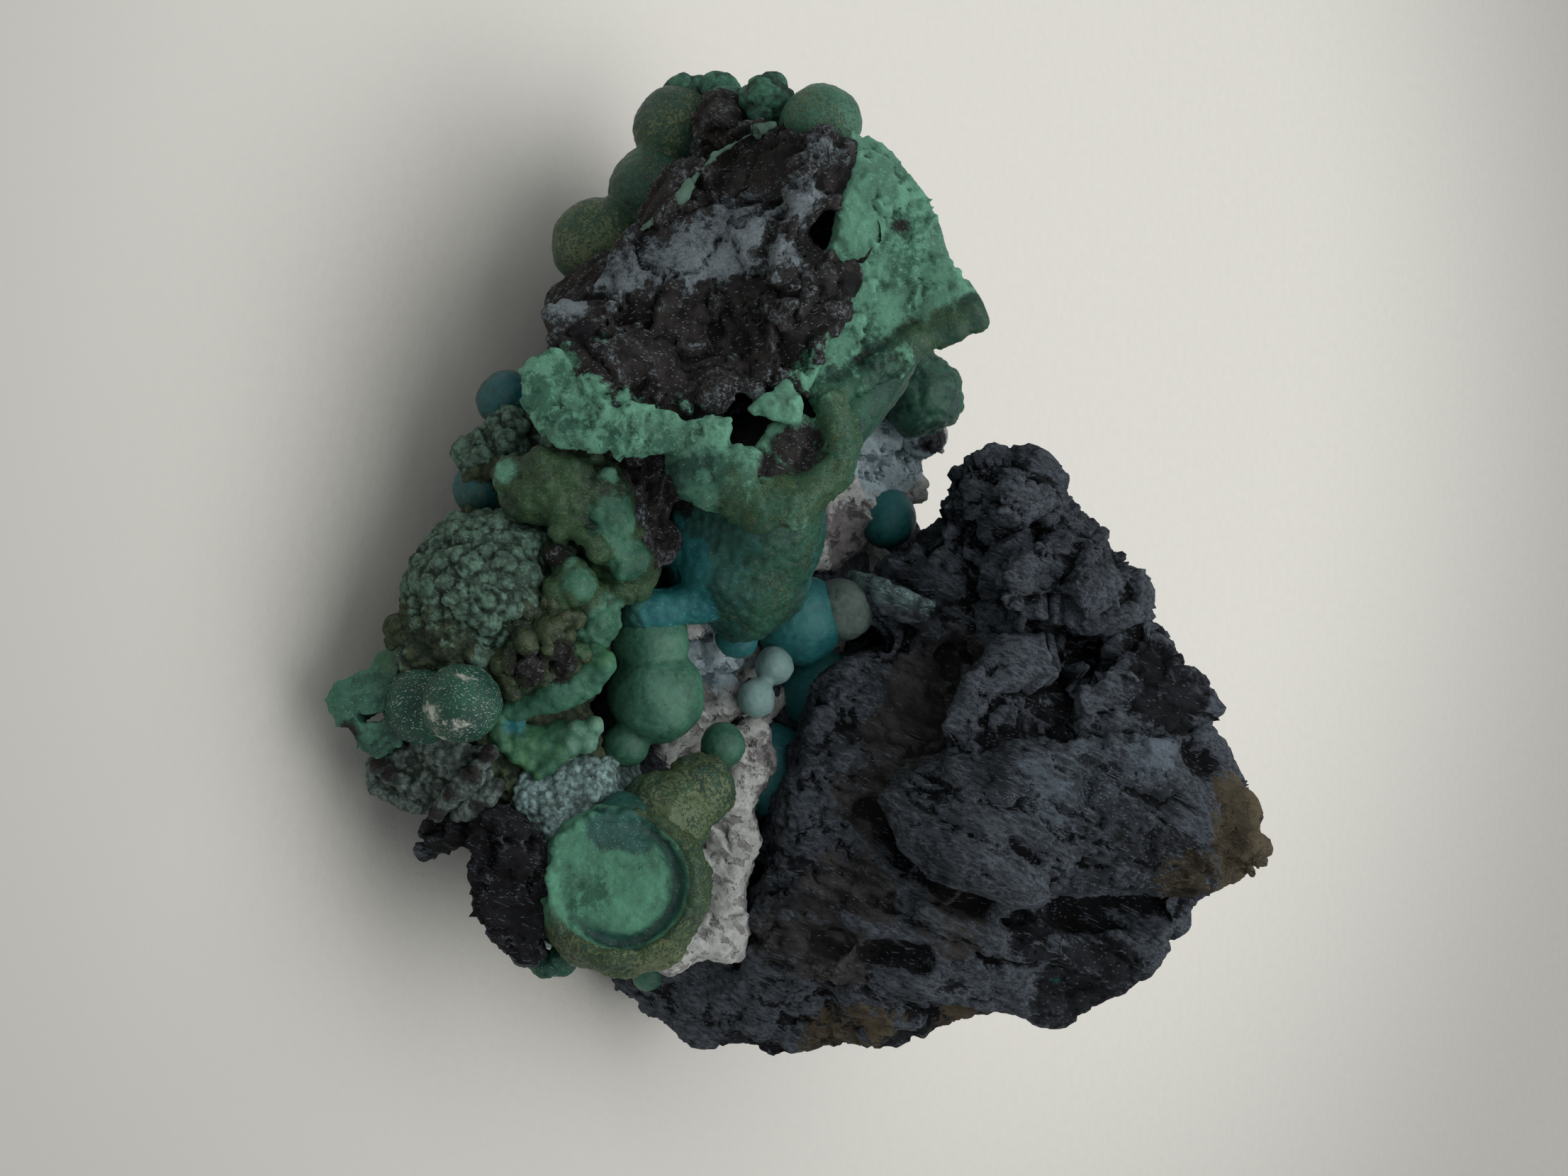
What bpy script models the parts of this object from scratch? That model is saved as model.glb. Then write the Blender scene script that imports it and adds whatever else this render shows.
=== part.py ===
"""Chrysocolla and malachite specimen: one natural solid, about 65 mm wide, 50 mm deep and 45 mm high.

A dark, ledged slab stands at the back right and leans over a hollow. In front of the hollow a crag with a broken
face, a rim of malachite and many grape-like balls grow on the same rock. All places are in millimetres in the
specimen's own frame: +X to the right of its display side, +Y to its back, +Z up, with the origin under the middle
of its base. Run it with: blender --background --python part.py
"""

import bmesh
import bpy
from mathutils import Vector, noise

MM = 0.001

# Driving sizes, in millimetres
ROCK_VOXEL = 0.75
BODY_VOXEL = 0.5
TRIANGLES = 10200
BASE_LEVEL = 0.0
BASE_DEPTH = 1.2
CUTTER_SIZE = 120.0
SMOOTH_PASSES = 1

# Relief of the broken rock, in millimetres: blocks longer up the rock than across it, over wider lumps
BLOCK_WIDTH = 4.6
BLOCK_STRETCH = 0.55
BLOCK_BLEND = 0.12
BLOCK_HEIGHT = 2.0
BLOCK_SHUFFLE = 7.3
LUMP_WIDTH = 6.5
LUMP_HEIGHT = 0.7

# Broken rock: each chunk is the hull of its corners. The first rows are its front, the last its back.
SLAB_CHUNKS = {
    "left_wing": [
        (-7, 11, 27), (-7, 13.5, 28.5), (-5.5, 14, 31), (-3.5, 14.5, 31), (-2.5, 15.5, 33.5), (-1.5, 16, 34.5),
        (2.5, 16, 36), (5.5, 16.5, 36.5), (5, 10, 24), (0, 9, 20), (-1.5, 9.5, 22), (-4, 10, 24), (-6, 10, 25.5),
        (-6.5, 20.5, 23), (-1.5, 24, 27.5), (5.5, 26, 30), (5.5, 20, 16.5), (-1.5, 18, 17),
    ],
    "upper_shoulder": [
        (0.5, 16.5, 36.5), (2.5, 16.5, 37), (3.5, 16, 36), (0, 13.5, 36), (3.5, 12.5, 35),
        (0.5, 18, 33), (3.5, 18, 33), (0, 13, 32), (3.5, 12, 32),
    ],
    "middle_shoulder": [
        (-2, 15, 35), (-2.5, 12.5, 33.5), (2.5, 11, 34.5), (0, 8.5, 31.5), (3, 8.5, 31.5), (2.5, 15.5, 35),
        (-2, 14, 29), (3, 13, 27),
    ],
    "lower_shoulder": [
        (-4.7, 14, 32), (-3.2, 12.7, 32), (-5.5, 11.5, 30.5), (-3, 9, 30.5), (-5, 14, 27), (-3, 13, 26),
    ],
    "peak": [
        (11, 18.5, 42), (13, 18.5, 42), (15.5, 19.5, 43.5), (17, 20, 44), (19, 20, 44), (20.5, 18, 43),
        (21.5, 16, 42), (22, 10, 36.5), (21.5, 7, 32.5), (18.5, 5, 29), (12.5, 6, 28.5), (8.5, 7.5, 29),
        (9, 12.5, 35), (11, 18.5, 39), (15, 11.5, 37.5),
        (12, 26, 36.5), (20, 26.5, 39.5), (24.5, 21.5, 33.5), (26.5, 17.5, 20), (11, 22.5, 16.5),
    ],
    "smooth_block": [
        (5, 16, 37.5), (7.5, 17, 40), (9, 19, 41), (10.5, 18, 40), (10.5, 15, 35), (6, 13, 35.5), (8, 12, 36),
        (5, 22, 34), (10.5, 23, 36),
    ],
    "lower_wall": [
        (4, 10.5, 23.5), (9, 11.5, 23), (13.5, 9, 24.5), (18.5, 8.5, 27), (22, 8.5, 31.5), (25.5, 4, 23.5),
        (27.5, 3, 19.5), (27, 2.5, 14), (22.5, 3.5, 15), (15.5, 3.5, 17), (12.5, 4, 19), (8, 4.5, 19.5),
        (7, 7, 19.5), (5.5, 21, 14.5), (9.5, 17, 10), (28, 13, 5), (24, 21, 25),
    ],
    "right_flank": [
        (23, 17, 40.5), (25.5, 16.5, 38.5), (26.5, 16, 36), (27.5, 14, 34), (29, 13.5, 31.5), (30, 11.5, 29.5),
        (31, 9, 24.5), (30.5, 8.5, 21), (23, 7, 29.5), (27, 3.5, 19), (24, 24, 36), (30, 20, 20), (31, 14, 10),
    ],
    "right_foot": [
        (31, 7, 16), (31.5, 6, 13.5), (32.5, 4, 9.5), (32, 3.5, 7.5), (31, 2.5, 4.5), (29.5, 2.5, 3.5),
        (28, 2.5, 1.5), (26.5, 2.5, 8), (27, 2.5, 14), (28, 3.5, 19), (31, 14, 17), (30, 13, 1), (24, 7, 0),
        (22, 14, 0),
    ],
    "flap": [
        (3, 9, 24.5), (2, 8, 23.5), (1, 6.5, 18.5), (2, 7, 18), (5, 9, 24.5), (6, 10, 26), (2.5, 9.5, 19),
        (6, 11, 22),
    ],
    "core": [
        (2.5, 15.5, 32.5), (8.5, 16.5, 35), (13, 17.5, 35), (2.5, 11.5, 24.5), (13, 10.5, 23.5),
        (2.5, 25, 27), (13.5, 26.5, 31), (2.5, 21.5, 15), (14, 21.5, 15),
    ],
    "bulge": [
        (15, 16.5, 42.5), (20.5, 15.5, 43), (21.5, 11, 39.5), (21.5, 8, 36.5), (21, 5.5, 33.5), (19.5, 4, 31.5),
        (16.5, 2.5, 26.5), (14.5, 3, 25.5), (13, 4.5, 29.5), (11.5, 7, 32.5), (11, 10.5, 36), (11.5, 15, 39.5),
        (16.5, 9, 38), (16, 5.5, 33.5), (13, 20.5, 35.5), (21, 20.5, 35.5), (21, 12.5, 25.5), (14.5, 10.5, 23.5),
    ],
    "overhang": [
        (5.5, 12.5, 34), (9, 12.5, 35.5), (11, 10.5, 35), (12.5, 7.5, 32.5), (12.5, 5.5, 30), (11, 4.5, 28.5),
        (9, 5.5, 29), (7, 7, 29.5), (5.5, 9, 31), (6.5, 21.5, 27), (12.5, 21.5, 27), (12, 17, 22), (7.5, 17.5, 22.5),
    ],
    "right_face": [
        (22, 8, 30.5), (23, 7, 29.5), (25, 3.5, 24), (27.5, 2.5, 20), (27, 1.8, 14.5), (24, 1.6, 17.5),
        (20, 2.5, 21.5), (18.5, 6, 25.5), (20.5, 7.5, 28), (23, 15, 19.5), (27, 9, 12.5),
    ],
    "lower_lip": [
        (7.5, 5, 21), (9, 3.5, 20.5), (13, 3, 20), (15.5, 2.3, 18), (19.5, 2.4, 17.5), (24, 1.7, 16),
        (24, 2.3, 19.5), (19.5, 3.5, 21), (14, 5, 22), (9, 6.5, 21.5), (9.5, 12, 16), (25, 9, 12.5), (16, 11, 15),
    ],
}
BASE_CHUNKS = {
    "foot": [
        (-20, 5.5, -BASE_DEPTH), (-12, -0.5, -BASE_DEPTH), (-3, -5.5, -BASE_DEPTH), (5, -10, -BASE_DEPTH),
        (11, -12, -BASE_DEPTH), (17, -8, -BASE_DEPTH), (24, -2, -BASE_DEPTH), (27, 5, -BASE_DEPTH),
        (26, 13, -BASE_DEPTH), (14, 18, -BASE_DEPTH), (-5, 17, -BASE_DEPTH), (-17, 12, -BASE_DEPTH),
        (-23, 3, 11), (-8, -6, 10), (4, -11, 10), (12, -14, 9), (17, -8, 10), (25, 0, 8), (29, 12, 12),
        (15, 21, 18), (-4, 20, 16), (-15, 15, 15),
    ],
    "front_ledge": [
        (-2, -9, 2.5), (5, -13.5, 2.2), (12, -15, 2.5), (16, -11, 2.5), (-4, -11, 7), (5, -16, 6.5), (13, -17, 6),
        (18, -11, 7), (0, -3, 2), (14, -5, 2), (0, -3, 9), (14, -5, 9),
    ],
    "left_ledge": [
        (-27, 4.5, 5), (-25, 1.5, 4), (-20, 0, 3.5), (-22, 10, 4), (-27, 9, 6), (-28, 5, 10), (-25, 0, 10),
        (-18, -4, 9), (-18, 12, 13), (-27, 11, 12),
    ],
    "back_ledge": [
        (-16, 16, 2.5), (-4, 21, 3), (10, 24, 2.2), (20, 22, 3), (26, 16, 4), (-14, 18, 13), (0, 22, 15),
        (14, 25, 17), (26, 18, 15), (0, 10, 2), (16, 10, 2),
    ],
    "right_ledge": [
        (26, 0, 3), (30.5, 5, 3), (31, 13, 4), (27, 17, 5), (24, 2, 9), (30, 3.5, 9), (31.5, 12, 12), (22, 5, 3),
        (20, 14, 3),
    ],
    "hollow_floor": [
        (5, -1.5, 13.5), (11.5, -3.5, 12.5), (13, 4.5, 14), (5, 5.5, 15), (19, 4, 12), (24.5, 2.5, 10.5),
        (-1, 18, 16), (24, 14, 10), (0, 0, 6), (24, 2, 5),
    ],
    "back_bank": [
        (-7, 12, 18.5), (-9.5, 15, 19.5), (-4.5, 17.5, 18), (0, 10, 16.5), (4, -2, 14), (-13, 13, 18),
        (-14, 6, 14), (0, 18, 10), (-12, 16, 8), (0, 0, 8),
    ],
}
CRAG_CHUNKS = {
    "broken_face": [
        (-25.5, -2.5, 28.5), (-23, -2, 29.5), (-18.5, -2.5, 30), (-13, -6, 28.5), (-10, -7.5, 28),
        (-9, -11.5, 22.5), (-9, -15, 18.5), (-12.5, -16, 16.5), (-15, -17, 14.5), (-18, -14.5, 16),
        (-21.5, -10.5, 19.5), (-25, -8, 19.5), (-28, -4, 23), (-26.5, -3, 25.5), (-26, 6, 19), (-14, 8, 17),
        (-9, -4, 9), (-17, -6, 7), (-27, 2, 15),
    ],
    "crest": [
        (-27, -1.5, 26.5), (-26, 0, 28), (-24.5, 0.5, 29.5), (-22.5, 1, 31), (-19.5, 1, 31), (-18, 1.5, 32),
        (-16.5, 2, 32.5), (-14.5, 0.5, 32.5), (-13, -1, 31.5), (-12, -3, 30), (-11, -4.5, 28.5),
        (-25, -2.5, 28), (-18.5, -2.5, 29.5), (-10, -7, 27), (-24, 6, 24), (-14, 7, 24),
    ],
    "crag_back": [
        (-25, 1, 27.5), (-20, 2, 30), (-14, 2, 30.5), (-10.5, -2, 27), (-25, 8, 21), (-19, 11, 20), (-12, 10, 19),
        (-10, 4, 20), (-26, 6, 12), (-8, 10, 11), (-22, 14, 12), (-12, 15, 12),
    ],
    "fold_rock": [
        (-8, -6, 26.5), (-5, -6.5, 26), (-4.5, -7.5, 24.5), (-7.5, -7.5, 24.5), (-6.5, -4, 26.5), (-8.5, -4, 26.5),
        (-5, -4.7, 26), (-3.7, -6.7, 23.5), (-8, -5, 21.5), (-4.5, -3.7, 20), (-7.5, -1.5, 23),
    ],
    "saddle": [
        (-11, -9, 21.5), (-5, -10.5, 19.5), (0, -9, 16.5), (0, -11.5, 15.5), (-7.5, -13.5, 14), (-10, -15, 12),
        (-13, -15, 12), (-16, -12.5, 12), (-6, 2, 8), (-12, 4, 12), (0, -4, 8),
    ],
}
FRONT_CHUNKS = {
    "front_mass": [
        (-7.5, -11, 14.5), (-7.5, -16, 9.5), (-3, -17.5, 8), (2.5, -20, 8), (5.5, -20.5, 7.5), (8.5, -21, 6.5),
        (14, -19.5, 7), (15, -15.5, 11.5), (13.5, -11, 14), (2.5, -8, 14), (-4, -8, 14), (0, -9, 3), (9, -14, 1),
        (15, -10, 4),
    ],
    "cut_ball_stem": [
        (15, -8, 14), (15, -14, 10.5), (24, -14, 10.5), (24.5, -10, 13.5), (21.5, -6, 15.5), (14, -3, 6),
        (24, -3, 6),
    ],
    "front_tip": [
        (8.5, -23, 7.5), (6, -22, 6), (6.8, -24.6, 5), (8.4, -25.8, 4.2), (10.6, -24.8, 4.4), (12.3, -22, 5.4),
        (10, -21.5, 8), (5.5, -20.5, 8), (6, -17, 4), (12, -17, 4),
    ],
    "druse_foot": [
        (11.5, -18, 12), (14.7, -18.3, 11.8), (15.8, -19.5, 7), (14.3, -21, 4), (12.7, -21, 4), (11, -20.5, 8),
        (10, -15, 5), (15, -15, 5),
    ],
    "black_shard": [
        (15, -17, 12), (16.5, -16, 14.5), (18.5, -15.7, 15), (24, -15, 14.2), (25.2, -15.7, 12),
        (23.5, -17.5, 11.3), (21.5, -19, 11), (17, -20, 11.4), (15.5, -19, 11), (16.5, -14, 8.5), (23, -13, 9),
    ],
    "shard_fragment": [
        (16, -18.2, 9), (17.3, -18, 9.3), (18.3, -17.8, 8), (18.1, -18, 6), (17.3, -18.3, 5.8), (16, -18.5, 7),
        (15, -16, 9), (15, -16, 6.5),
    ],
}

# Grape-like balls: (x, y, z, radius)
BALLS = {
    "pale_left": (-27.6, 0.0, 23.0, 2.6), "speckled_left": (-29.3, -1.1, 19.5, 1.6),
    "scallop_a": (-29.2, -0.6, 16.2, 1.5), "scallop_b": (-30.4, 0.5, 13.9, 1.3), "scallop_c": (-30.4, -0.4, 12.2, 1.4),
    "foot_a": (-28.1, -1.5, 12.1, 2.9), "foot_b": (-24.1, -3.3, 11.5, 2.8), "foot_c": (-20.5, -6.3, 9.6, 3.0),
    "foot_link": (-22.0, -1.0, 12.0, 4.5),
    "big": (8.5, -7.3, 15.6, 3.1), "big_lobe": (5.2, -7.4, 15.3, 2.5), "small_by_big": (11.6, -8.6, 14.2, 1.5),
    "teal": (4.9, -1.8, 17.6, 1.4), "pale_a": (6.8, 2.6, 17.0, 1.3), "pale_b": (8.9, 1.2, 16.7, 1.3),
    "white_a": (11.8, 1.8, 16.0, 1.4), "green": (11.8, -2.4, 16.9, 1.5),
    "gold_a": (14.5, -5.5, 17.6, 2.3), "gold_b": (16.2, -7.7, 16.6, 3.0), "cut_left": (16.3, -12.8, 17.2, 2.6),
    "curtain_lobe": (-0.8, -5.7, 16.9, 2.1),
    "deep_a": (3.9, 5.4, 16.8, 3.0), "deep_b": (13.9, 5.4, 14.0, 3.2), "deep_c": (8.6, 9.0, 15.4, 2.8),
    "deep_d": (-2.9, 13.5, 17.9, 2.0), "grey_dome": (6.2, 10.0, 19.8, 2.9), "pale_deep": (3.2, 7.2, 19.0, 2.1),
    "back_a": (-11.2, 13.5, 20.7, 2.8), "back_b": (-13.4, 12.5, 19.8, 2.2), "back_c": (-9.0, 16.0, 20.6, 1.5),
    "patched": (8.7, -21.3, 12.5, 2.45), "below_patched": (8.9, -20.8, 8.6, 2.4),
    "druse": (1.9, -16.9, 9.6, 4.6), "druse_top": (0.0, -16.2, 10.8, 3.1), "druse_low": (4.9, -18.6, 9.0, 3.2),
    "moss_a": (-7.2, -12.6, 12.2, 1.8), "moss_b": (-7.5, -14.5, 10.0, 1.8), "moss_c": (-6.4, -15.6, 8.6, 1.5),
    "teal_low_a": (-10.1, -13.4, 8.4, 1.9), "teal_low_b": (-4.4, -15.6, 8.4, 1.8),
    "cluster_a": (3.7, -11.3, 15.4, 1.8), "cluster_b": (2.5, -13.7, 15.4, 1.5), "cluster_c": (5.0, -12.6, 15.4, 1.3),
    "brown_a": (3.7, -15.8, 14.3, 1.8), "brown_b": (5.5, -17.2, 14.0, 1.8), "brown_c": (1.9, -16.2, 13.8, 1.3),
    "brown_d": (6.7, -18.0, 13.0, 1.3), "plate_a": (6.2, -13.1, 14.6, 2.1), "plate_b": (7.7, -14.6, 12.9, 1.7),
    "mint_a": (11.5, -11.5, 13.7, 1.6), "mint_b": (10.4, -13.1, 13.3, 1.1), "mint_c": (12.1, -14.2, 13.4, 1.6),
    "mint_d": (12.7, -15.2, 12.3, 1.3), "mint_e": (11.2, -16.2, 12.4, 1.2), "mint_f": (10.3, -17.2, 11.4, 1.0),
    "olive_a": (6.1, -20.9, 8.4, 1.3), "olive_b": (4.9, -20.6, 7.2, 1.2),
    "white_b": (22.7, 2.4, 12.2, 1.5), "white_c": (25.0, 2.2, 11.8, 1.5), "white_d": (24.4, 1.1, 10.3, 1.5),
    "foot_green": (27.8, 1.7, 6.6, 1.1),
}

# Rounded ribs and tongues: hulls of balls along their length
RIBS = {
    "horn": [(-16.5, 1.4, 31.4, 1.4), (-15.6, 1.7, 32.6, 1.1), (-14.8, 2.6, 34.0, 0.8)],
    "rim_skin": [
        (-13.2, -1.6, 31.2, 1.1), (-11.9, -3.0, 29.8, 1.2), (-10.6, -4.7, 28.4, 1.1), (-9.1, -5.2, 27.8, 1.0),
    ],
    "fold": [
        (-9.7, -5, 28, 1.0), (-8.2, -5, 28.3, 1.0), (-6.7, -4.7, 28.4, 1.1), (-5.3, -5.4, 27.9, 1.1),
        (-4.4, -6.7, 27.2, 1.0), (-3.5, -8, 26.6, 1.1), (-2.6, -8.9, 26.1, 1.2), (-2.8, -9.7, 25.1, 1.1),
        (-4.1, -9.8, 24.4, 1.0), (-4.9, -10.1, 23.1, 0.9), (-5, -10.9, 20.7, 0.9),
    ],
    "finger": [(2.8, -5.6, 18.3, 1.4), (2.9, -7.4, 16.6, 1.4), (3.0, -8.9, 15.5, 1.4)],
    "fold_face": [(-6.3, -8.7, 25.1, 1.0), (-6.1, -9.9, 23.4, 1.2), (-5.9, -10.7, 20.9, 1.1)],
    "mint_band": [
        (-9.9, -7.9, 27.0, 1.2), (-8.1, -10.3, 24.2, 1.0), (-7.6, -11.9, 22.3, 0.9), (-7.8, -13.4, 20.4, 1.1),
        (-8.1, -14.9, 18.6, 1.3), (-9.2, -15.9, 16.4, 1.7), (-10.9, -16.5, 15.1, 1.5), (-12.3, -16.6, 13.7, 1.0),
    ],
    "knobbly_ridge": [
        (0.9, -9.8, 15.7, 1.7), (-1.2, -11.8, 16.1, 2.2), (-3.7, -13.3, 15.7, 2.6), (-4.5, -15.7, 14.4, 2.3),
        (-4.2, -17.0, 13.0, 1.6),
    ],
    "curl": [(2.4, -14.6, 15.9, 0.8), (1.8, -14.2, 17.1, 0.8), (0.2, -14.2, 17.9, 0.8), (-1.2, -15.0, 17.3, 0.8),
             (-1.2, -16.2, 15.7, 0.9)],
}
# Smooth masses, each the hull of its balls: the curtain that falls into the hollow, and the skin behind the rim
MASSES = {
    "curtain": [
        (0.0, -2.7, 18.6, 4.8), (-3.5, -3.4, 21.4, 3.8), (2.5, -2.7, 18.6, 2.7), (-5.1, -4.9, 18.7, 3.1),
        (-7.5, -3.0, 23.5, 2.6), (-4.0, 0.6, 14.7, 3.9),
    ],
    "rim_back": [
        (-12.8, -0.8, 30.2, 1.2), (-9.3, -4.2, 27.3, 1.2), (-5.5, -4.9, 27.0, 1.2), (-3.5, -8.0, 25.4, 1.2),
        (-11.5, 2.5, 26.5, 1.3), (-7.5, -0.5, 23.5, 2.0), (-4.0, -4.0, 22.5, 2.0), (-5.2, -8.2, 21.5, 1.5),
        (-12.0, 4.0, 20.0, 2.0),
    ],
}

# The cut ball: its middle, outer radius, the direction that its broken face looks, and how deep the cut is
CUT_BALL = (20.4, -11.4, 16.5)
CUT_BALL_RADIUS = 5.3
CUT_BALL_FACES = (-0.25, -0.72, 0.66)
CUT_BALL_LEFT_OVER = 2.6

# Deep openings in the crag: (mouth x, y, z, radius) down to (x, y, z, radius)
PITS = {
    "crest_pit": [(-18.8, -3.9, 28.4, 2.0), (-17.6, 0.4, 23.6, 1.2)],
    "side_pit": [(-8.9, -10.4, 25.2, 1.3), (-10.4, -6.2, 21.6, 0.9)],
    "saddle_gap": [(1.4, -17.4, 14.0, 0.8), (-1.4, -15.8, 12.6, 0.8)],
}


def hull_into(mesh, corners):
    """Adds the convex hull of these points to a bmesh."""
    verts = [mesh.verts.new(Vector(c)) for c in corners]
    made = bmesh.ops.convex_hull(mesh, input=verts)
    spare = {g for g in made["geom_interior"] + made["geom_unused"] if isinstance(g, bmesh.types.BMVert)}
    bmesh.ops.delete(mesh, geom=list(spare), context="VERTS")


def ball_points(centre, radius, detail=2):
    """Points evenly over a sphere."""
    shell = bmesh.new()
    bmesh.ops.create_icosphere(shell, subdivisions=detail, radius=radius)
    points = [Vector(centre) + v.co for v in shell.verts]
    shell.free()
    return points


def ball_into(mesh, centre, radius):
    hull_into(mesh, ball_points(centre, radius, detail=3))


def tongue_into(mesh, stations):
    """Adds a rounded rib that runs from ball to ball."""
    for start, end in zip(stations, stations[1:]):
        points = ball_points(start[:3], start[3]) + ball_points(end[:3], end[3])
        hull_into(mesh, points)


def mass_into(mesh, stations):
    """Adds one smooth mass: the hull of balls."""
    hull_into(mesh, [p for s in stations for p in ball_points(s[:3], s[3], detail=3)])


def object_from(name, mesh):
    """Makes a Blender object of a bmesh whose points are in millimetres."""
    bmesh.ops.scale(mesh, vec=(MM, MM, MM), verts=mesh.verts)
    bmesh.ops.recalc_face_normals(mesh, faces=mesh.faces)
    data = bpy.data.meshes.new(name)
    mesh.to_mesh(data)
    mesh.free()
    made = bpy.data.objects.new(name, data)
    bpy.context.scene.collection.objects.link(made)
    return made


def add_remesh(target, voxel):
    remesh = target.modifiers.new("one_skin", "REMESH")
    remesh.mode = "VOXEL"
    remesh.voxel_size = voxel * MM


def bake_modifiers(target):
    """Replaces an object's mesh by what its modifiers make of it."""
    bpy.context.view_layer.update()
    evaluated = target.evaluated_get(bpy.context.evaluated_depsgraph_get())
    old = target.data
    target.data = bpy.data.meshes.new_from_object(evaluated)
    target.modifiers.clear()
    bpy.data.meshes.remove(old)


def subtract(target, cutter):
    """Cuts one object out of another for good."""
    cut = target.modifiers.new("cut", "BOOLEAN")
    cut.operation = "DIFFERENCE"
    cut.object = cutter
    bake_modifiers(target)
    bpy.data.objects.remove(cutter)


def ledge_height(point):
    """How far broken rock stands out at a point, in millimetres: blocks at odd heights over coarse lumps."""
    upright = Vector((point.x, point.y * BLOCK_STRETCH, point.z * BLOCK_STRETCH)) / BLOCK_WIDTH
    distances, places = noise.voronoi(upright)
    nearest, second = (noise.noise(place * BLOCK_SHUFFLE) for place in places[:2])
    share = min(1.0, (distances[1] - distances[0]) / BLOCK_BLEND) / 2
    block = nearest * (0.5 + share) + second * (0.5 - share)
    lumps = noise.fractal(point / LUMP_WIDTH, 1.0, 2.0, 3)
    return BLOCK_HEIGHT * block + LUMP_HEIGHT * lumps


def build_rock():
    """All the broken rock as one roughened skin."""
    mesh = bmesh.new()
    for group in (SLAB_CHUNKS, BASE_CHUNKS, CRAG_CHUNKS, FRONT_CHUNKS):
        for corners in group.values():
            hull_into(mesh, corners)
    rock = object_from("rock", mesh)
    add_remesh(rock, ROCK_VOXEL)
    bake_modifiers(rock)
    normals = [v.normal.copy() for v in rock.data.vertices]
    for vertex, normal in zip(rock.data.vertices, normals):
        vertex.co += normal * (ledge_height(vertex.co / MM) * MM)
    return rock


def build_growths():
    """The malachite and chrysocolla: balls, ribs and smooth masses, still separate skins."""
    mesh = bmesh.new()
    for x, y, z, radius in BALLS.values():
        ball_into(mesh, (x, y, z), radius)
    for stations in RIBS.values():
        tongue_into(mesh, stations)
    for stations in MASSES.values():
        mass_into(mesh, stations)
    return object_from("growths", mesh)


def build_cut_ball():
    """A ball broken open: a dome with its near side sliced off."""
    towards = Vector(CUT_BALL_FACES).normalized()
    mesh = bmesh.new()
    bmesh.ops.create_icosphere(mesh, subdivisions=4, radius=CUT_BALL_RADIUS)
    slice_at = towards * CUT_BALL_LEFT_OVER
    whole = mesh.verts[:] + mesh.edges[:] + mesh.faces[:]
    bmesh.ops.bisect_plane(mesh, geom=whole, plane_co=slice_at, plane_no=towards, clear_outer=True)
    rim = [e for e in mesh.edges if e.is_boundary]
    bmesh.ops.holes_fill(mesh, edges=rim)
    bmesh.ops.translate(mesh, vec=Vector(CUT_BALL), verts=mesh.verts)
    return object_from("cut_ball", mesh)


def build_pit_cutter():
    mesh = bmesh.new()
    for stations in PITS.values():
        tongue_into(mesh, stations)
    return object_from("pit_cutter", mesh)


def build_base_cutter():
    """A block whose top is the level of the base."""
    mesh = bmesh.new()
    bmesh.ops.create_cube(mesh, size=CUTTER_SIZE)
    bmesh.ops.translate(mesh, vec=(0, 0, BASE_LEVEL - CUTTER_SIZE / 2), verts=mesh.verts)
    return object_from("base_cutter", mesh)


def join(name, *members):
    """Puts several objects' meshes into one object."""
    mesh = bmesh.new()
    for member in members:
        mesh.from_mesh(member.data)
        bpy.data.objects.remove(member)
    data = bpy.data.meshes.new(name)
    mesh.to_mesh(data)
    mesh.free()
    made = bpy.data.objects.new(name, data)
    bpy.context.scene.collection.objects.link(made)
    return made


def largest_shell_only(target):
    """Drops the sealed bubbles that joining the lumps leaves inside."""
    mesh = bmesh.new()
    mesh.from_mesh(target.data)
    mesh.verts.ensure_lookup_table()
    unseen = set(mesh.verts)
    shells = []
    while unseen:
        stack = [unseen.pop()]
        shell = []
        while stack:
            vertex = stack.pop()
            shell.append(vertex)
            for edge in vertex.link_edges:
                other = edge.other_vert(vertex)
                if other in unseen:
                    unseen.remove(other)
                    stack.append(other)
        shells.append(shell)
    shells.sort(key=len)
    for shell in shells[:-1]:
        bmesh.ops.delete(mesh, geom=shell, context="VERTS")
    mesh.to_mesh(target.data)
    mesh.free()


def rock_material():
    material = bpy.data.materials.new("dark_rock_and_malachite")
    material.use_nodes = True
    shader = material.node_tree.nodes["Principled BSDF"]
    shader.inputs["Base Color"].default_value = (0.05, 0.10, 0.08, 1.0)
    shader.inputs["Roughness"].default_value = 0.75
    shader.inputs["Metallic"].default_value = 0.0
    return material


def build_specimen():
    specimen = join("specimen", build_rock(), build_growths(), build_cut_ball())
    add_remesh(specimen, BODY_VOXEL)
    bake_modifiers(specimen)
    subtract(specimen, build_pit_cutter())
    add_remesh(specimen, BODY_VOXEL)
    smooth = specimen.modifiers.new("soften", "SMOOTH")
    smooth.iterations = SMOOTH_PASSES
    bake_modifiers(specimen)
    largest_shell_only(specimen)
    decimate = specimen.modifiers.new("facets", "DECIMATE")
    decimate.ratio = TRIANGLES / sum(len(p.vertices) - 2 for p in specimen.data.polygons)
    decimate.use_collapse_triangulate = True
    bake_modifiers(specimen)
    subtract(specimen, build_base_cutter())
    specimen.data.materials.clear()
    specimen.data.materials.append(rock_material())
    specimen.data.shade_flat()
    return specimen


def clear_scene():
    for old in list(bpy.data.objects):
        bpy.data.objects.remove(old)


clear_scene()
build_specimen()
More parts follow.
